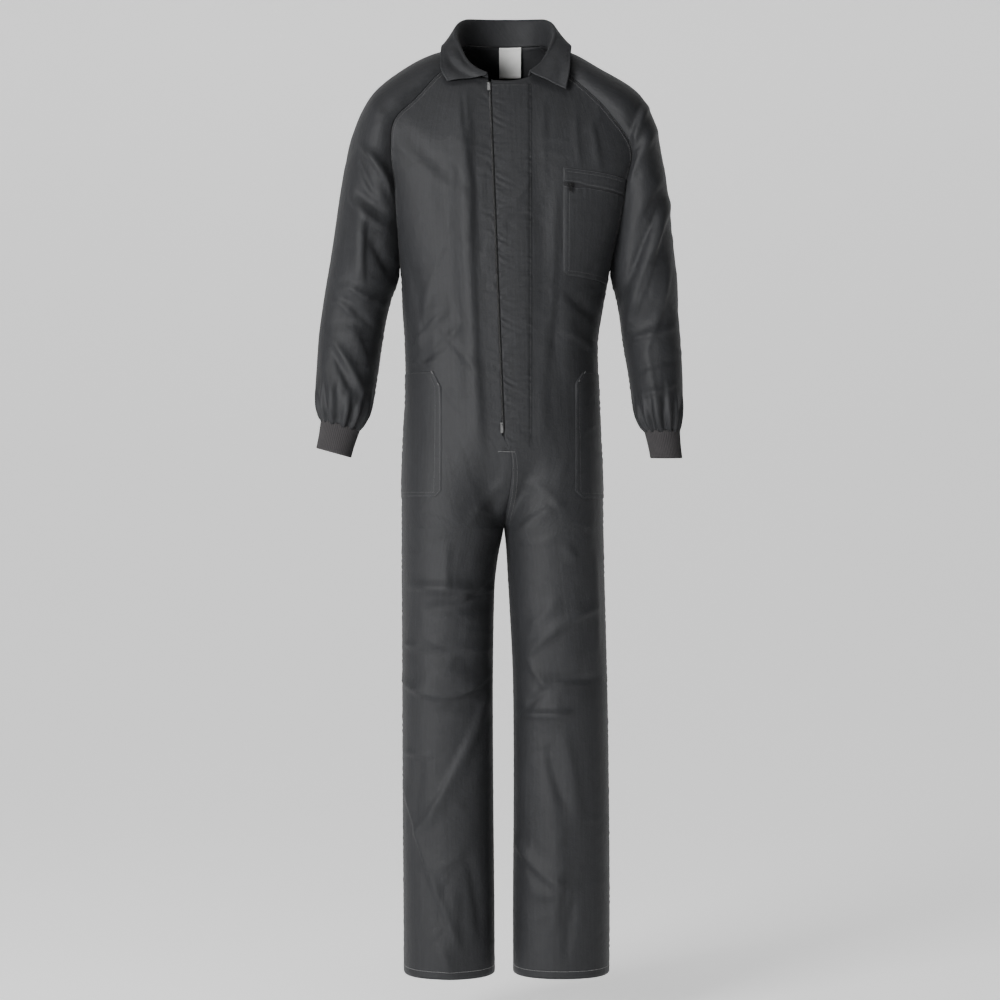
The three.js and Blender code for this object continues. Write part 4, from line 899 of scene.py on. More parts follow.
class Value:
    """Output of a shader node. Arithmetic on it adds Math nodes."""

    def __init__(self, finish, socket):
        self.finish, self.socket = finish, socket

    def math(self, operation, *others):
        """Adds a Math node that starts from this value."""
        return self.finish.node("Math", {"operation": operation}, (self, *others))

    def __add__(self, other):
        return self.math("ADD", other)

    def __mul__(self, other):
        return self.math("MULTIPLY", other)

    def __sub__(self, other):
        return self.math("SUBTRACT", other)

    def __rsub__(self, other):
        return self.finish.node("Math", {"operation": "SUBTRACT"}, (other, self))

    __radd__ = __add__
    __rmul__ = __mul__

    def wave(self, length):
        """Sine of the value, one turn to a length."""
        return (self * (2 * math.pi / length)).math("SINE")

    def size(self):
        """The value without its sign."""
        return self.math("ABSOLUTE")

    def step(self, low, high):
        """Smooth step of the value from 0 at low to 1 at high."""
        settings = {"interpolation_type": "SMOOTHSTEP"}
        return self.finish.node("MapRange", settings, {"Value": self, "From Min": low,
                                                       "From Max": high})


class Finish:
    """A material that is built from shader nodes, with its constants on the shader itself."""

    def __init__(self, name, **constants):
        self.material = bpy.data.materials.new(name)
        self.material.use_nodes = True
        self.tree = self.material.node_tree
        self.shader = self.tree.nodes["Principled BSDF"]
        for socket, value in constants.items():
            self.shader.inputs[socket.replace("_", " ")].default_value = value

    def node(self, kind, settings, values, output=0):
        """Adds a node: its settings first, then the values or links of its sockets."""
        made = self.tree.nodes.new("ShaderNode" + kind)
        for name, value in settings.items():
            setattr(made, name, value)
        pairs = values.items() if isinstance(values, dict) else enumerate(values)
        for name, value in pairs:
            socket = made.inputs[name]
            if isinstance(value, Value):
                self.tree.links.new(value.socket, socket)
            else:
                socket.default_value = value
        return Value(self, made.outputs[output])

    def parts(self, kind, settings, values):
        """Adds a node and gives all its outputs."""
        first = self.node(kind, settings, values)
        return [Value(self, socket) for socket in first.socket.node.outputs]

    def noise(self, where, scale, detail=2.0, roughness=0.5):
        """Even noise from 0 to 1 on coordinates."""
        values = {"Vector": where, "Scale": scale, "Detail": detail, "Roughness": roughness}
        return self.node("TexNoise", {}, values)

    def streaks(self, where, across, along):
        """Noise stretched along one way of a map, at two scales in features a metre."""
        turned = self.node("Mapping", {}, {"Vector": where, "Scale": (across, along, 1)})
        return self.noise(turned, 1, 2)

    def sets(self, socket, value):
        """Links a value to a socket of the shader."""
        self.tree.links.new(value.socket, self.shader.inputs[socket])

    def tints(self, share, one, other):
        """Base colour between two, by a share."""
        values = {0: share, 6: (*one, 1), 7: (*other, 1)}
        self.sets("Base Color", self.node("Mix", {"data_type": "RGBA"}, values, 2))

    def bump(self, height, strength=1.0):
        """Normal from a height in metres."""
        values = {"Strength": strength, "Distance": 1.0, "Height": height}
        self.sets("Normal", self.node("Bump", {}, values))


def shade(colour, factor):
    """A colour made darker or paler by a factor."""
    return tuple(part * factor for part in colour)


def twill_finish():
    """Cotton twill: fine diagonal ribs of thread, broad and small unevenness of tone and
    surface, paler where a seam or an edge has rubbed."""
    cloth = Finish("cotton_twill", Sheen_Weight=0.02, Sheen_Roughness=0.4,
                   Specular_IOR_Level=0.3)
    where = cloth.node("TexCoord", {}, {}, 3)
    run = cloth.node("UVMap", {"uv_map": "cloth"}, {})
    u, v, _ = cloth.parts("SeparateXYZ", {}, (run,))
    rib = (u * 0.80 + v).wave(0.0013)
    thread = (u - v * 0.62).wave(0.00092)
    weave = rib * 0.7 + thread * 0.3
    warp = cloth.streaks(run, 520, 26)
    weft = cloth.streaks(run, 30, 430)
    streak = cloth.streaks(run, 230, 8)
    broad = cloth.noise(where, 9, 3)
    small = cloth.noise(where, 75, 3, 0.6)
    lint = cloth.noise(where, 620, 2)
    seam = cloth.node("Attribute", {"attribute_name": "seam"}, {}, 2)
    worn = 1 - seam.step(0.0, 4.0)
    grain = warp * 0.5 + weft * 0.3 + lint * 0.4
    tone = broad * 0.3 + small * 0.2 + grain * 0.55 + streak * 0.5 + weave * 0.05
    tone = tone + worn * 0.12 - 0.37
    cloth.tints(tone, shade(TWILL_COLOUR, 0.5), shade(TWILL_COLOUR, 1.5))
    cloth.sets("Roughness", 0.53 + grain * 0.14 + broad * 0.06)
    height = weave * 0.000035 + small * 0.0011 + broad * 0.0016 + grain * 0.0002
    cloth.bump(height + streak * 0.0003, 0.85)
    return cloth.material


def knit_finish():
    """Rib knit: rows of small loops on the raised ribs, soft and dull; its colour is painted
    darker in the furrows between the ribs, as shade, and paler on their crests.
    """
    knit = Finish("rib_knit", Sheen_Weight=0.03, Sheen_Roughness=0.6, Specular_IOR_Level=0.2)
    where = knit.node("TexCoord", {}, {}, 3)
    run = knit.node("UVMap", {"uv_map": "cloth"}, {})
    u, v, _ = knit.parts("SeparateXYZ", {}, (run,))
    lean = u.wave(0.0022).size()
    loop = (v + lean * 0.0006).wave(0.0014)
    fuzz = knit.noise(where, 1200, 2)
    broad = knit.noise(where, 40, 2)
    # The rib value, 1 on a rib's crest and 0 between ribs, paints shade into the furrows and makes
    # the crests paler
    rib = knit.node("Attribute", {"attribute_name": "rib"}, {}, 2)
    tone = rib * 0.55 + fuzz * 0.2 + broad * 0.2 + loop * 0.06
    knit.tints(tone, shade(KNIT_COLOUR, 0.45), shade(KNIT_COLOUR, 1.5))
    knit.sets("Roughness", 0.82 + fuzz * 0.12)
    knit.bump(loop * 0.00012 + fuzz * 0.0001, 0.8)
    return knit.material


def thread_finish(name, dark, pale):
    """Sewing thread between two greys, a little paler than the cloth it holds."""
    thread = Finish(name, Specular_IOR_Level=0.4)
    where = thread.node("TexCoord", {}, {}, 3)
    tone = thread.noise(where, 500, 1)
    thread.tints(tone, (dark,) * 3, (pale,) * 3)
    thread.sets("Roughness", 0.45 + tone * 0.2)
    return thread.material


def tape_finish():
    """Woven zip tape: fine cross ribs."""
    tape = Finish("zip_tape_weave", Specular_IOR_Level=0.3)
    where = tape.node("TexCoord", {}, {}, 3)
    x, _, z = tape.parts("SeparateXYZ", {}, (where,))
    rib = z.wave(0.0009) * 0.5 + x.wave(0.0012) * 0.5
    fuzz = tape.noise(where, 700, 2)
    tape.tints(rib * 0.3 + fuzz * 0.5, (0.008, 0.008, 0.009), (0.03, 0.03, 0.033))
    tape.sets("Roughness", 0.7 + fuzz * 0.2)
    tape.bump(rib * 0.00006 + fuzz * 0.00004)
    return tape.material


def metal_finish(name, dull, bright):
    """Plated zip metal between two greys: fine brushing, and duller in blots."""
    metal = Finish(name, Metallic=1.0)
    where = metal.node("TexCoord", {}, {}, 3)
    turned = metal.node("Mapping", {}, {"Vector": where, "Scale": (900, 900, 5000)})
    brush = metal.noise(turned, 1, 2)
    blot = metal.noise(where, 260, 2)
    metal.tints(blot, (dull,) * 3, (bright,) * 3)
    metal.sets("Roughness", 0.24 + brush * 0.18 + blot * 0.1)
    metal.bump(brush * 0.00001)
    return metal.material


def label_finish():
    """Blank woven satin label: fine threads both ways and a soft gloss."""
    satin = Finish("label_satin", Specular_IOR_Level=0.5)
    run = satin.node("UVMap", {"uv_map": "cloth"}, {})
    u, v, _ = satin.parts("SeparateXYZ", {}, (run,))
    warp = u.wave(0.0007)
    weft = v.wave(0.0011)
    where = satin.node("TexCoord", {}, {}, 3)
    cloud = satin.noise(where, 120, 2)
    tone = warp * 0.12 + weft * 0.1 + cloud * 0.4 + 0.3
    satin.tints(tone, (0.62, 0.62, 0.6), (0.84, 0.84, 0.83))
    satin.sets("Roughness", 0.42 + cloud * 0.12)
    satin.bump(warp * 0.00002 + weft * 0.00002 + cloud * 0.0004)
    return satin.material


TWILL = twill_finish()
KNIT = knit_finish()
THREAD = thread_finish("sewing_thread", 0.075, 0.15)
PALE_THREAD = thread_finish("pale_thread", 0.18, 0.34)
TAPE = tape_finish()
METAL = metal_finish("zip_metal", 0.12, 0.3)
DARK_METAL = metal_finish("dark_zip_metal", 0.03, 0.08)
LABEL = label_finish()


def quads_of(rows, columns, flip, closed=False):
    """Faces of a grid, row by row, closed round its columns where asked."""
    last = columns if closed else columns - 1
    r, c = np.meshgrid(np.arange(rows - 1), np.arange(last), indexing="ij")
    after = (c + 1) % columns
    corners = [r * columns + c, r * columns + after, (r + 1) * columns + after,
               (r + 1) * columns + c]
    if flip:
        corners = corners[::-1]
    return np.stack(corners, axis=-1).reshape(-1, 4)


def repeated(faces, count):
    """Faces of a small shape, for a number of copies whose points follow each other."""
    first = np.arange(count) * (faces.max() + 1)
    return (faces[None] + first[:, None, None]).reshape(-1, 4)


def add_mesh(name, points, faces, material, uv=None, values=None):
    """Object of a mesh from points in millimetres, with its UV map and point values."""
    mesh = bpy.data.meshes.new(name)
    points = points.reshape(-1, 3) * MM
    mesh.from_pydata(points.tolist(), [], faces.tolist())
    if uv is not None:
        layer = mesh.uv_layers.new(name="cloth")
        layer.data.foreach_set("uv", (uv.reshape(-1, 2) * MM)[faces.ravel()].ravel())
    for key, value in (values or {}).items():
        mesh.attributes.new(key, "FLOAT", "POINT").data.foreach_set("value", value.ravel())
    mesh.polygons.foreach_set("use_smooth", np.ones(len(faces), bool))
    mesh.materials.append(material)
    mesh.update()
    piece = bpy.data.objects.new(name, mesh)
    bpy.context.scene.collection.objects.link(piece)
    return piece


def add_wall(piece, thickness):
    """Gives an open surface the thickness of its cloth, inwards from its outer face."""
    wall = piece.modifiers.new("cloth", "SOLIDIFY")
    wall.thickness = thickness * MM
    wall.offset = -1


def placed(piece, slot, *nodes):
    """Puts a piece on the garment's body, in place of its solids; the slot is not used."""
    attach(piece, "garment")
    if nodes:
        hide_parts(*nodes)


def add_cloth(name, node, points, flip, uv, values, material=TWILL, wall=CLOTH, slot="twill",
              closed=False):
    """Sheet of cloth from a grid of points, in place of a solid. Its flat size is the grid's
    unless it is given."""
    faces = quads_of(*points.shape[:2], flip, closed)
    piece = add_mesh(name, points, faces, material, uv, values)
    add_wall(piece, wall)
    placed(piece, slot, node)


def edge_shares(count, extra=(0.004, 0.01, 0.02)):
    """Even shares from 0 to 1, closer together at both ends."""
    inner = np.linspace(0, 1, count)
    extra = np.array(extra)
    return np.unique(np.round(np.concatenate([inner, extra, 1 - extra]), 5))


panels = {}
sleeves = {}
for side in ("left", "right"):
    for face in ("front", "back"):
        panels[face, side] = Panel(face, side)
    sleeves[side] = Sleeve(side)


def add_panel(face, side):
    """A front or back of one side, from the neck to the hem: its surface over a grid."""
    panel = panels[face, side]
    share = edge_shares(58)[None, :]
    level = BODY_LEVELS[:, None]
    points = panel(share, level)
    width = panel.width(level)
    from_start = share * width
    along = np.broadcast_to(panel.drop(level), from_start.shape)
    uv = np.stack([from_start * sign_of(side), -along], axis=-1)
    seam = np.minimum(np.minimum(from_start, width - from_start), panel.drop(4.0) - along)
    name = f"{face}_{side}"
    add_cloth(f"{name}_cloth", name, points, panel.flip, uv, {"seam": seam})


def add_sleeve(side):
    """A raglan sleeve, gathered at its end: its surface over a grid."""
    sleeve = sleeves[side]
    share = edge_shares(118, (0.002, 0.005))[None, :]
    level = SLEEVE_LEVELS[:, None]
    points = sleeve(share, level)
    rounds = run_along(points, 1)
    along = run_along(points, 0)
    uv = np.stack([(rounds - rounds[:, -1:] / 2) * sign_of(side), -along], axis=-1)
    seam = np.minimum(rounds, rounds[:, -1:] - rounds)
    seam = np.minimum(seam, along[-1:] - along)
    name = f"sleeve_{side}"
    add_cloth(f"{name}_cloth", name, points, sleeve.flip, uv, {"seam": seam})


for side in ("left", "right"):
    add_panel("front", side)
    add_panel("back", side)
    add_sleeve(side)


def add_cuff(side):
    """Knitted cuff: a tube with ribs, each |cos| rounded, that narrows to its open end and
    turns in at its folded edge."""
    ends = [sleeve_base(side, s, 2.0) for s in (0.0, 0.5, 0.25)]
    centre = (ends[0] + ends[1]) / 2
    wide, deep = ends[1] - centre, ends[2] - centre
    s = np.concatenate([np.linspace(-0.06, 0.97, 36), [0.985, 0.996, 1.0]])[:, None]
    turn = np.linspace(0, 2 * math.pi, CUFF_RIBS * 6 + 1)[None, :-1]
    rib = np.abs(np.cos(turn * CUFF_RIBS / 2)) ** 0.7
    uneven = 0.15 * np.sin(turn * 5 + 3 * s) + 0.1 * np.sin(9 * s + 2 * turn)
    fold_in = 1.2 * smooth(s, 0.97, 1.0)
    rise = 0.8 * (rib - 0.5) * (1 + uneven) + 0.5 - fold_in
    narrow = 1 - 0.1 * np.sin(np.clip(s, 0, 1) * math.pi / 2)
    size = narrow + rise / np.linalg.norm(wide)
    points = centre + np.array(CUFF_WAY[side]) * s[..., None]
    points = points + wide * (np.cos(turn) * size)[..., None]
    points = points + deep * (np.sin(turn) * size)[..., None]
    uv = np.stack(np.broadcast_arrays(turn * CUFF_RADIUS, -s * CUFF_LENGTH), axis=-1)
    # The rib value is kept for the knit's colour, which it makes darker between the ribs as
    # painted shade
    values = {"rib": np.broadcast_to(rib, size.shape)}
    add_cloth(f"cuff_{side}_knit", f"cuff_{side}", points, side == "right", uv, values, KNIT,
              KNIT_CLOTH, "knit", closed=True)


for side in ("left", "right"):
    add_cuff(side)


def grid_normals(points, flip=False):
    """Unit normals of a grid of points."""
    normal = np.cross(np.gradient(points, axis=1), np.gradient(points, axis=0))
    length = np.maximum(np.linalg.norm(normal, axis=-1, keepdims=True), 1e-12)
    return normal / length * (-1 if flip else 1)


def row_inside(points, normals, away, inset, crosswise=False, trim=0.0, low=0.0, high=1.0):
    """Path of stitches over a grid, at an inset from the edge that away counts from. It runs
    down the grid, or crosswise, between two shares of it and with both its ends trimmed."""
    grid = np.concatenate([points, normals], axis=-1)
    if crosswise:
        grid, away = np.swapaxes(grid, 0, 1), away.T
    first, last = int(low * len(grid)), int(high * len(grid))
    grid, away = grid[first:last], away[first:last]
    order = 1 if away[0, -1] > away[0, 0] else -1
    path = np.array([[np.interp(order * inset, order * far, values[:, k]) for k in range(6)]
                     for far, values in zip(away, grid)])
    run = run_along(path[None, :, :3], 1)[0]
    at = np.linspace(trim, run[-1] - trim, len(run))
    path = along_path(at, run, path)
    return path[:, :3], path[:, 3:]


def edge_steps(count, length):
    """Shares of a length from 0 to 1, close together at both its turned edges."""
    near = np.array(TURNED_STEPS) / length
    return np.unique(np.concatenate([[0], near, np.linspace(0.05, 0.95, count), 1 - near, [1]]))


def add_patch(name, node, panel, share, level, edges, high, relief, slot="twill",
              material=TWILL):
    """A patch of cloth sewn on a panel: it stands off along the panel's normals by low +
    (high - low) sqrt(d / 1.8), with d from its turned edges, and by a relief of its own. It
    gives its points and their normals."""
    edge = np.minimum.reduce([np.broadcast_to(part, share.shape) for part in edges])
    swell = np.sqrt(np.clip(edge / 1.8, 0, 1))
    lift = PATCH_LOW + (high - PATCH_LOW) * swell + relief * smooth(edge, 0, 2)
    points = panel(share, level) + panel.normals(share, level) * lift[..., None]
    uv = np.stack([run_along(points, 1), -run_along(points, 0)], axis=-1)
    turned = points[0, 0, 0] < points[0, -1, 0]
    add_cloth(name, node, points, turned, uv, {"seam": edge}, material, PATCH_CLOTH, slot)
    return points, grid_normals(points, not turned)


stitch_paths = []


def add_fly():
    """The fly: a band over the zip from its free edge to its sewn side. It stands off the front
    by sink + rise * body * turned: body falls to 0 past its double row of stitches and at its
    foot, and turned is the square root of the distance from its turned edges."""
    panel = panels["front", "left"]
    z = np.linspace(FLY_TOP_Z, FLY_END_Z, 300)[:, None]
    s = np.concatenate([[0, 0.006, 0.015, 0.03, 0.05], np.linspace(0.08, 1, 40)])[None, :]
    edge_x = np.minimum(between(FRONT_MIDDLE, "z", z, "x"), FLY_FOOT_X) + FLY_EDGE
    x = edge_x + (FLY_SEWN_X - edge_x) * s
    share, level = panel.find(x, np.broadcast_to(z, x.shape))
    width = FLY_SEWN_X - edge_x
    free = s * width
    sewn = width - free
    top, foot = FLY_TOP_Z - z + 0 * s, z - FLY_END_Z + 0 * s
    body = smooth(sewn, 0, 15) * smooth(foot, 0, 12)
    turned = np.sqrt(np.clip(np.minimum(free, top) / 2.0, 0.06, 1))
    beside = np.abs(sewn - sum(FLY_ROWS) / 2)
    waves = pucker(beside, -z, 91, 0.9, 10, 15)
    waves = waves + pucker(free, -z, 92, 1.2, 12, 18, -0.5)
    waves = waves + pucker(top, x, 93, 0.6, 8, 11)
    lift = FLY_SINK + FLY_RISE * body * turned + waves * smooth(np.minimum(free, foot), 0, 6)
    lift = lift + row_groove(sewn, FLY_ROWS, 0.4) + row_groove(top, (FLY_TOP_ROW,), 0.4)
    points = panel(share, level) + panel.normals(share, level) * lift[..., None]
    uv = np.stack([free, np.broadcast_to(z, free.shape)], axis=-1)
    seam = np.minimum(np.minimum(free, beside + 2), top)
    add_cloth("fly_cloth", "fly", points, True, uv, {"seam": seam})
    normals = grid_normals(points)
    for row in FLY_ROWS:
        stitch_paths.append(row_inside(points, normals, sewn, row, high=0.96))
    stitch_paths.append(row_inside(points, normals, top, FLY_TOP_ROW, True, 2.0))


add_fly()


def chest_slit(s):
    """Half of the slit over the chest zip: as wide as the zip's place beside the slider, which
    lies near its inner end, and narrow beyond."""
    return CHEST["zip"] / 2 - 2.3 * smooth(np.abs(s - 0.12), 0.06, 0.16)


def strip_places(near, far, rows, footed=False):
    """Share and level of a strip of the chest pocket between two depths below its top, which
    may vary across it, and the distances from its edges. Its places run evenly across the
    panel, and Newton's method finds the level of their heights."""
    panel = panels["front", "left"]
    s = edge_steps(44, length=CHEST["width"])[None, :]
    down = edge_steps(rows, length=float(np.mean(far - near)))[:, None]
    depth = near + (far - near) * down + 0 * s
    outer = depth[:, 0]
    corner = np.maximum(0, CHEST["corner"] - (outer[-1] - outer)) * footed
    start, _ = panel.find(CHEST["inner"] + corner, CHEST["top"] - outer)
    fall = down[:, 0] * footed
    end = CHEST["end"] - CHEST["narrowing"] * fall
    share = start[:, None] + (end - start)[:, None] * s
    tilt = CHEST["slope"] + (CHEST["foot_slope"] - CHEST["slope"]) * fall
    z = CHEST["top"] - depth + tilt[:, None] * s
    level = np.full(share.shape, 0.5)
    for _ in range(14):
        here = panel.plain(share, level)[..., 2]
        slope = (panel.plain(share, level + 1e-3)[..., 2] - here) / 1e-3
        level = np.clip(level + (z - here) / slope, 1e-3, 3 - 1e-3)
    over = CHEST["width"] * s + 0 * depth
    edges = [over, CHEST["width"] - over, depth - near, far - depth]
    return panel, share, level, edges


def sew_edges(points, normals, edges, insets):
    """Rows of stitches along the edges of a patch, at each edge's insets. The edges count
    from its start, its end, its top and its foot."""
    for k, rows in enumerate(insets):
        for inset in rows:
            stitch_paths.append(row_inside(points, normals, edges[k], inset, k > 1, inset + 1))


def add_chest_pocket():
    """Chest pocket and its band, which close over a strip of zip. The pocket's slack is a
    swell of sin(pi s) across by sin(pi d / 150) down."""
    middle = CHEST["band"] + CHEST["zip"] / 2
    s = edge_steps(44, length=CHEST["width"])[None, :]
    slit = chest_slit(s)
    none = 0 * s
    place = strip_places(middle + slit, CHEST["depth"] + none, 50, True)
    over, back, down, up = edges = place[3]
    waves = pucker(over, down, 51, 0.4, 10, 13) + pucker(back, down, 52, 0.4, 10, 13)
    waves = waves + pucker(down, over, 53, 0.7, 10, 12)
    share = np.clip(over / CHEST["width"], 0, 1)
    slack = 1.2 * np.sin(math.pi * share) * np.sin(math.pi * down / 150)
    rows = [POCKET_ROWS, EDGE_ROW, EDGE_ROW, POCKET_ROWS]
    relief = waves + slack + row_groove(over, POCKET_ROWS) + row_groove(up, POCKET_ROWS)
    patch = add_patch("chest_pocket_cloth", "chest_pocket", *place, 1.3, relief)
    sew_edges(*patch, edges, rows)
    place = strip_places(none, middle - slit, 14)
    over, _, down, up = edges = place[3]
    relief = row_groove(down, BAND_ROWS) + row_groove(up, BAND_ROWS)
    relief = relief + pucker(down, over, 54, 0.4, 9, 12)
    patch = add_patch("chest_band_cloth", "chest_pocket_band", *place, 1.5, relief)
    sew_edges(*patch, edges, [EDGE_ROW, (), BAND_ROWS, EDGE_ROW])
    place = strip_places(CHEST["band"] - 1 + none, middle + CHEST["zip"] / 2 + 1 + none, 4)
    add_patch("chest_zip_cloth", "chest_zip_tape", *place, 0.5, 0.0, "tape", TAPE)


add_chest_pocket()


def add_side_pocket(side):
    """Side pocket from its slanted mouth to its cut corner. Its mouth gapes by a Gaussian
    swell beside its front edge."""
    pocket = SIDE_POCKET[side]
    panel = panels["front", side]
    top, foot, mouth, cut = pocket["top"], pocket["foot"], pocket["mouth"], pocket["cut"]
    z = top + (foot - top) * edge_steps(70, length=top - foot)
    near_top = np.clip((z - (top - mouth)) / mouth, 0, 1)
    near_foot = np.clip((foot + cut - z) / cut, 0, 1)
    start_x = pocket["front"] + (pocket["mouth_x"] - pocket["front"]) * near_top
    start_x = start_x + sign_of(side) * near_foot * cut
    start, _ = panel.find(start_x, z)
    s = edge_steps(26, length=SIDE_POCKET_WIDTH)[None, :]
    share = start[:, None] + (SIDE_POCKET_END - start)[:, None] * s
    level = np.where(z > HIP_Z, 1 + (z - ARMPIT_Z) / (HIP_Z - ARMPIT_Z),
                     2 + np.arcsin(fork(z)) * 2 / math.pi)
    level = np.broadcast_to(level[:, None], share.shape)
    over = SIDE_POCKET_WIDTH * s + 0 * share
    down = np.broadcast_to((top - z)[:, None], share.shape)
    up = np.broadcast_to((z - foot)[:, None], share.shape)
    slack = 1.4 * np.exp(-((over / 26) ** 2)) * np.exp(-(((down - 24) / 26) ** 2))
    relief = pucker(over, down, 61 + (side == "left"), 0.45, 10, 14) + slack
    relief = relief + row_groove(over, POCKET_ROWS, 0.3) + row_groove(up, POCKET_ROWS, 0.3)
    name = f"side_pocket_{side}"
    patch = add_patch(f"{name}_cloth", name, panel, share, level, [over, down, up], 1.1, relief)
    sew_edges(*patch, [over, None, down, up], [POCKET_ROWS, (), EDGE_ROW, POCKET_ROWS])


for side in ("left", "right"):
    add_side_pocket(side)


def neck_points(side, angle):
    """Points of the neck's edge at angles round it, from the middle of the front: the arcs of
    the yoke on the front and the back, and the sleeve's first ring between them."""
    sign = sign_of(side)

    def yoke(face, turn):
        rows = FRONT_REACH if face == "front" else BACK_REACH
        reach = math.radians(rows["angle"][0])
        z, y = middle_line(face, 0)
        edge = seam_point(face, side, 0)
        depth = (edge[1] - y) / (1 - outward(reach, TRUNK_SQUARE))
        x = edge[0] * across(turn, TRUNK_SQUARE) / across(reach, TRUNK_SQUARE)
        y = y + depth * (1 - outward(turn, TRUNK_SQUARE))
        return stacked(x, y, z + (edge[2] - z) * (turn / reach) ** 2)

    share = np.clip((angle - FRONT_RAGLAN) / (BACK_RAGLAN - FRONT_RAGLAN), 0, 1)
    over = sleeve_base(side, share, np.zeros_like(share))
    over[..., 0] = sign * np.abs(over[..., 0])
    point = np.where((angle <= FRONT_RAGLAN)[:, None], yoke("front", angle), over)
    return np.where((angle >= BACK_RAGLAN)[:, None], yoke("back", math.pi - angle), point)


def smoothed(rows, places, count):
    """Cubic curve through the rows of an array at their places, at even steps."""
    at = np.linspace(places[0], places[-1], count)
    flat = rows.reshape(len(rows), -1)
    columns = [between({"at": places, "v": column}, "at", at, "v") for column in flat.T]
    return np.stack(columns, axis=1).reshape(count, *rows.shape[1:])


def collar_half(side):
    """Half of the collar: sections that go up from the neck seam, over the roll and down the
    fall to the outer edge, at angles round the neck."""
    rows = COLLAR[side]
    first = math.radians(rows["angle"][0])
    angle = np.linspace(first, math.pi, 60)
    degrees = np.degrees(angle)
    seam = neck_points(side, angle)
    away = stacked(seam[:, 0], seam[:, 1] - NECK_BACKWARD, 0)
    away[:, 0] *= NECK_ROUND
    away = away / np.linalg.norm(away, axis=1, keepdims=True)
    lean, rise = (between(rows, "angle", degrees, name) for name in ("lean", "rise"))
    up = np.array([0, 0, 1.0])
    roll = seam + away * (lean + ROLL)[:, None] + up * rise[:, None]
    edge = stacked(*(between(rows, "angle", degrees, name) for name in "xyz"))
    edge[:, 0] *= sign_of(side)
    seam = seam + up * COLLAR_GAP - away * COLLAR_IN
    roll_in, roll_out = roll - away * ROLL, roll + away * ROLL
    top = roll + up * ROLL * 1.1
    steps = [seam, (seam + roll_in) / 2, roll_in, top, roll_out]
    steps += [roll_out + (edge - roll_out) * s for s in (0.35, 0.7)] + [edge]
    return np.stack(steps, axis=1)


def run_mean(sections):
    """Mean distance run round the collar, section by section."""
    return run_along(np.swapaxes(sections, 0, 1), 1).mean(axis=0)


def add_collar():
    """The collar, in one piece: cubic curves down through the points of each section, and then
    round the neck through the sections, with soft folds on its front leaves."""
    sections = np.concatenate([collar_half("right"), collar_half("left")[::-1][1:]])
    places = np.array([0, 0.16, 0.32, 0.4, 0.48, 0.65, 0.83, 1.0])
    down = smoothed(np.swapaxes(sections, 0, 1), places, 44)
    points = np.swapaxes(smoothed(np.swapaxes(down, 0, 1), run_mean(sections), 240), 0, 1)
    rounds = run_along(points, 1)
    along = run_along(points, 0)
    ends = np.minimum(rounds, rounds[:, -1:] - rounds)
    outer = along[-1:] - along
    hem = np.minimum(outer, ends)
    normals = grid_normals(points)
    wave = pucker(outer, rounds, 71, 0.5, 9, 14) + pucker(along, rounds, 72, 0.4, 8, 13)
    groove = row_groove(outer, (COLLAR_ROW,), 0.3) + row_groove(ends, (COLLAR_ROW,), 0.3)
    front = (points[..., 1] < NECK_BACKWARD) * smooth(along, 20, 32)
    leaf = fold_rise(COLLAR_FOLDS, points[..., 0], points[..., 2]) * front
    relief = (wave + groove) * smooth(hem, 0, 3) + leaf
    points = points + normals * relief[..., None]
    for away, inset in ((outer, COLLAR_ROW), (along, COLLAR_SEAM_ROW)):
        stitch_paths.append(row_inside(points, normals, away, inset, True, COLLAR_ROW))
    for away in (rounds, rounds[:, -1:] - rounds):
        path = row_inside(points, normals, away, COLLAR_ROW, trim=COLLAR_ROW, low=0.5)
        stitch_paths.append(path)
    uv = np.stack([rounds, -along], axis=-1)
    add_cloth("collar_cloth", "collar", points, True, uv, {"seam": hem}, wall=COLLAR_CLOTH)


add_collar()


def thread_mesh(name, paths, pitch=3.2, length=2.4, radius=0.24, material=THREAD, slot="twill"):
    """Rows of stitches along paths of points and normals: each stitch is a short four-sided
    spindle that dips into the cloth at both ends."""
    verts, count = [], 0
    ring = np.array([(0.0, 1.0), (1.0, 0.15), (0.0, -0.7), (-1.0, 0.15)])
    steps = np.array([-1, -0.62, 0.62, 1.0])
    girth = np.array([0.35, 1, 1, 0.35])
    sink = np.array([-0.9, 0.35, 0.35, -0.9]) * radius
    for points, normals in paths:
        run = run_along(points[None], 1)[0]
        at = np.arange(pitch / 2, run[-1] - pitch / 2, pitch)
        if not len(at):
            continue
        centre = along_path(at, run, points)
        up = along_path(at, run, normals)
        along = along_path(at + 0.4, run, points) - along_path(at - 0.4, run, points)
        along /= np.linalg.norm(along, axis=1, keepdims=True)
        aside = np.cross(along, up)
        aside /= np.linalg.norm(aside, axis=1, keepdims=True)
        up = np.cross(aside, along)
        reach = (steps * length / 2)[None, :, None, None]
        where = centre[:, None, None] + along[:, None, None] * reach
        lift = sink[:, None] + ring[None, :, 1] * (girth * radius)[:, None]
        wide = ring[None, :, 0] * (girth * radius)[:, None]
        where = where + up[:, None, None] * lift[None, :, :, None]
        where = where + aside[:, None, None] * wide[None, :, :, None]
        verts.append(where.reshape(-1, 3))
        count += len(at)
    one = quads_of(4, 4, False, closed=True)
    one = np.concatenate([one, [(3, 2, 1, 0), (12, 13, 14, 15)]])
    placed(add_mesh(name, np.concatenate(verts), repeated(one, count), material), slot)


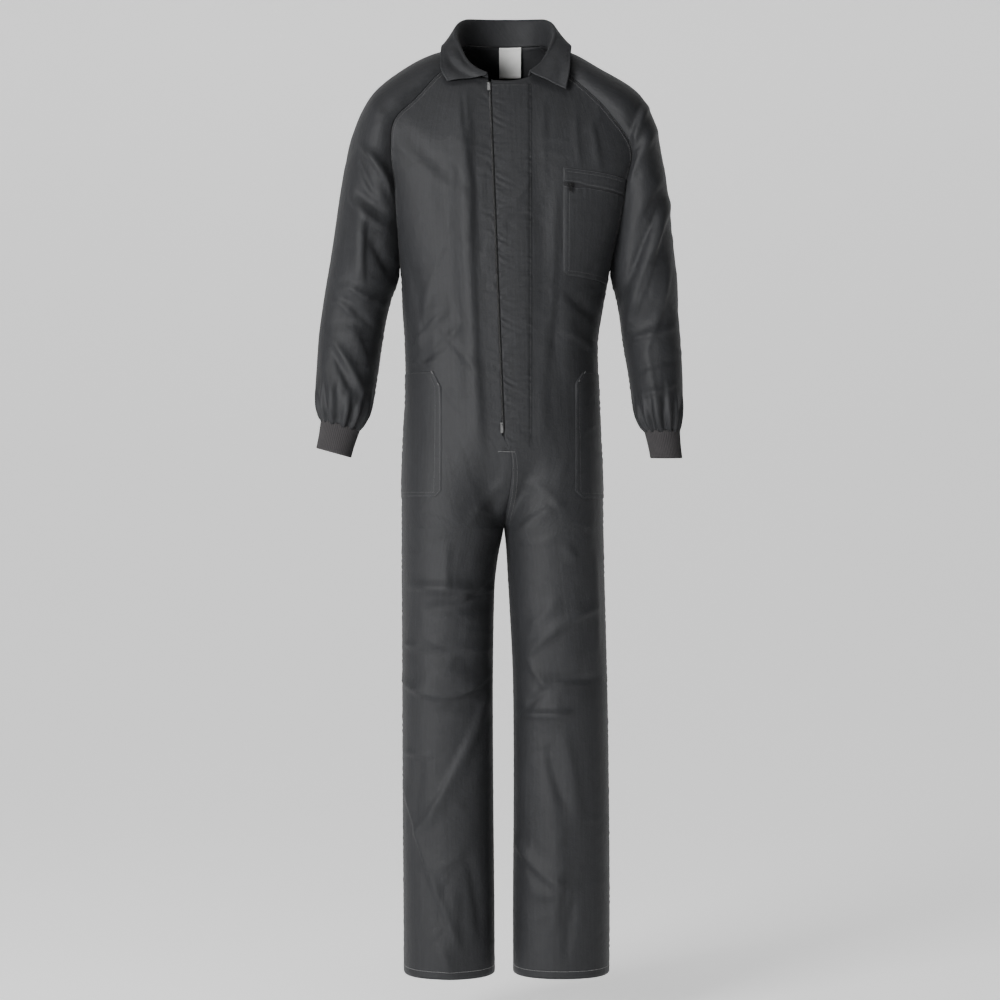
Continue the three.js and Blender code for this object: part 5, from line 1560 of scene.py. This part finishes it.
def add_label():
    """Blank label inside the back of the neck: it follows the middle line of the back, bends
    by x^2 across, swells by sin(pi r) down its length, and its ends are turned under."""
    r = np.linspace(0, 1, 60)[:, None]
    s = np.linspace(-0.5, 0.5, 40)[None, :]
    x = LABEL_X + s * LABEL_WIDTH
    z = BACK_LINE["z"][0] - 1 - LABEL_LENGTH * r
    y = between(BACK_LINE, "z", z, "y") - LABEL_IN - LABEL_BEND * x**2
    ends = np.minimum(r, 1 - r) * LABEL_LENGTH
    y = y - LABEL_SWELL * np.sin(math.pi * r) - 0.6 * np.sin(5 * s + 1) * r
    y = y - 0.5 * smooth(LABEL_TURN - ends, 0, 1)
    points = stacked(x, y, z + 0 * s)
    down = r * LABEL_LENGTH + 0 * s
    uv = np.stack([x + 0 * r, z + 0 * s], axis=-1)
    add_cloth("neck_label_cloth", "neck_label", points, True, uv, None, LABEL, LABEL_CLOTH,
              "label")
    normals = np.broadcast_to(np.array([0, -1.0, 0]), points.shape)
    row = row_inside(points, normals, down, 3.0, True, 1.5)
    thread_mesh("stitching_label", [row], 2.2, 1.6, 0.18, PALE_THREAD, "label")


add_label()


def add_zip():
    """Front zip: a tape at lines beside the fronts' middle, a depth inside them along their
    normals, and two rows of teeth that mesh, small boxes at even steps along the middle."""
    z = np.linspace(ZIP_TOP_Z, ZIP_END_Z, 160)[:, None]
    offset = np.array(TAPE_LINES)[None, :]
    x = between(FRONT_MIDDLE, "z", z, "x") + offset
    points = np.empty((*x.shape, 3))
    for side, mask in (("right", offset[0] < 0), ("left", offset[0] >= 0)):
        panel = panels["front", side]
        share, level = panel.find(x[:, mask], np.broadcast_to(z, x.shape)[:, mask])
        points[:, mask] = panel.base(share, level) - panel.normals(share, level) * TAPE_DEPTH
    uv = np.stack([offset + 0 * z, z + 0 * offset], axis=-1)
    add_cloth("zip_tape_cloth", "zip_tape", points, True, uv, None, TAPE, TAPE_CLOTH, "tape")
    middle = points[:, len(TAPE_LINES) // 2]
    run = run_along(middle[None], 1)[0]
    count = int(run[-1] // (ZIP_PITCH / 2))
    at = (np.arange(count) + 0.5) * ZIP_PITCH / 2
    centre = along_path(at, run, middle)
    aside = np.where(np.arange(count) % 2, 1.0, -1.0)
    box = np.array([(x, y, z) for z in (-1, 1) for y in (-1, 1) for x in (-1, 1)], float)
    centre[:, 0] += aside * TOOTH_ASIDE
    centre[:, 1] -= TOOTH_FORWARD
    verts = centre[:, None, :] + box[None] * np.array(TOOTH)
    cube = np.array([(0, 2, 3, 1), (4, 5, 7, 6), (0, 1, 5, 4), (2, 6, 7, 3), (0, 4, 6, 2),
                     (1, 3, 7, 5)])
    teeth = add_mesh("zip_teeth", verts, repeated(cube, count), DARK_METAL)
    placed(teeth, "metal")
    edge = teeth.modifiers.new("edge", "BEVEL")
    edge.width = TOOTH_EDGE * MM
    edge.segments = 1


add_zip()

for node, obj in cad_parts.items():
    if node.startswith(("zip_slider", "zip_pull")):
        for place in obj.material_slots:
            place.material = DARK_METAL if node.endswith("chest") else METAL


def panel_row(panel, share, level, lift=0.1):
    """Path of stitches over a panel, from shares and levels."""
    normal = panel.normals(share, level)
    return panel(share, level) + normal * lift, normal


def seam_rows(panel, low, high, offsets, end="end", steps=420):
    """Paths beside an edge of a panel, at offsets from it."""
    level = np.linspace(low, high, steps)
    paths = []
    for offset in offsets:
        near = offset / panel.width(level)
        share = 1 - near if end == "end" else near
        paths.append(panel_row(panel, share, level))
    return paths


def panel_path(panel, x, z, lift=0.1):
    """Path of stitches over a panel, through places seen square on."""
    share, level = panel.find(np.asarray(x, float), np.asarray(z, float))
    return panel_row(panel, share, level, lift)


def tack(point, normal, way):
    """Bar tack: short stitches side by side over its length, each a path of its own."""
    way = np.array(way, float) / np.linalg.norm(way)
    aside = np.cross(way, normal)
    paths = []
    for s in np.linspace(-0.5, 0.5, TACK_THREADS):
        centre = point + way * s * TACK_LENGTH + normal * 0.35
        half = aside * TACK_WIDTH * 0.8
        ends = np.array([centre - half, centre + half])
        paths.append((ends, np.array([normal, normal])))
    return paths


def add_stitching():
    """All rows of stitches that show on the body."""
    paths = list(stitch_paths)
    hems = []
    for side in ("left", "right"):
        front, back = panels["front", side], panels["back", side]
        for panel in (front, back):
            paths += seam_rows(panel, 0.01, 0.99, SEAM_ROWS)
            share = np.linspace(0.005, 0.995, 200)
            level = 4 - HEM_ROW / (panel.drop(4.0) - panel.drop(3.0)) + 0 * share
            hems.append(panel_row(panel, share, level, 0.2))
        paths += seam_rows(back, 1.0, 4.0, SEAM_ROWS, steps=700)
        paths += seam_rows(back, 0.0, 2.9, SEAM_ROWS[:1], "start", 700)
    z = np.linspace(-676, -800, 60)
    x = between(FRONT_MIDDLE, "z", z, "x")
    for offset in SEAM_ROWS:
        paths.append(panel_path(panels["front", "left"], x + offset, z))
    thread_mesh("stitching_body", paths)
    thread_mesh("stitching_hem", hems, 3.4, 2.8, 0.28, PALE_THREAD)
    middle = float(between(FRONT_MIDDLE, "z", np.array([BAR_Z]), "x")[0])
    bars = []
    for side, reach in BAR_REACH.items():
        x = middle + np.linspace(0.02, 1, 16) * reach
        bars.append(panel_path(panels["front", side], x, BAR_Z - 0.03 * x, 0.5))
    thread_mesh("stitching_bar", bars, 2.6, 2.2, 0.3, PALE_THREAD)
    tacks = []
    for side, pocket in SIDE_POCKET.items():
        panel = panels["front", side]
        drop = pocket["mouth"]
        slant = (pocket["front"] - pocket["mouth_x"], 0, -drop)
        for share in (0.12, 0.88):
            x = pocket["mouth_x"] + slant[0] * share + 3 * sign_of(side)
            point, normal = panel_path(panel, [x], [pocket["top"] - drop * share], 1.6)
            tacks += tack(point[0], normal[0], slant)
    thread_mesh("stitching_tacks", tacks, 2.4, 2.3, 0.24)


add_stitching()


def add_stage():
    """Pale floor that curves up into a plain backdrop: a flat run, a quarter of a circle and
    an upright."""
    turn = np.linspace(0.1, 1.57, 14)
    run = np.concatenate([np.linspace(-9, 4, 14), 4 + 3 * np.sin(turn), [7.0]])
    rise = np.concatenate([np.zeros(14), 3 - 3 * np.cos(turn), [11.0]])
    x = np.linspace(-12, 12, 9)[None, :]
    points = stacked(x, run[:, None], rise[:, None] + FLOOR_Z) / MM
    paper = Finish("backdrop_paper", Roughness=0.9, Emission_Strength=0.6,
                   Emission_Color=(1, 1, 1, 1))
    where = paper.node("TexCoord", {}, {}, 3)
    paper.tints(paper.noise(where, 1.5), (0.86,) * 3, (0.9,) * 3)
    floor = add_mesh("backdrop", points, quads_of(*points.shape[:2], False), paper.material)


add_stage()


def add_light(name, place, aim, size, power):
    """Square soft light at a place, aimed at a point."""
    data = bpy.data.lights.new(name, "AREA")
    data.shape = "SQUARE"
    data.size = size
    data.energy = power
    light = bpy.data.objects.new(name, data)
    light.location = place
    way = np.array(aim, float) - np.array(place, float)
    flat = math.hypot(way[0], way[1])
    light.rotation_euler = (math.atan2(flat, -way[2]), 0, math.atan2(way[1], way[0]) - math.pi / 2)
    bpy.context.scene.collection.objects.link(light)


add_light("key", (-2.9, -3.8, 0.3), (0, 0, -0.75), 1.7, 305)
add_light("low", (-1.7, -3.7, -1.5), (0, 0, -1.35), 1.3, 42)
add_light("fill", (3.6, -3.8, -0.4), (0, 0, -0.9), 2.6, 17)
add_light("top", (-0.6, -0.9, 3.2), (0, 0, -0.4), 1.6, 40)

world = bpy.data.worlds.new("studio")
world.use_nodes = True
background = world.node_tree.nodes["Background"]
background.inputs["Color"].default_value = (1, 1, 1, 1)
background.inputs["Strength"].default_value = 0.06
bpy.context.scene.world = world

camera_data = bpy.data.cameras.new("camera")
camera_data.lens = LENS
camera_data.sensor_width = 36
camera_data.clip_end = 60
camera = bpy.data.objects.new("camera", camera_data)
camera.location = CAMERA
camera.rotation_euler = (math.pi / 2, 0, 0)
bpy.context.scene.collection.objects.link(camera)
bpy.context.scene.camera = camera
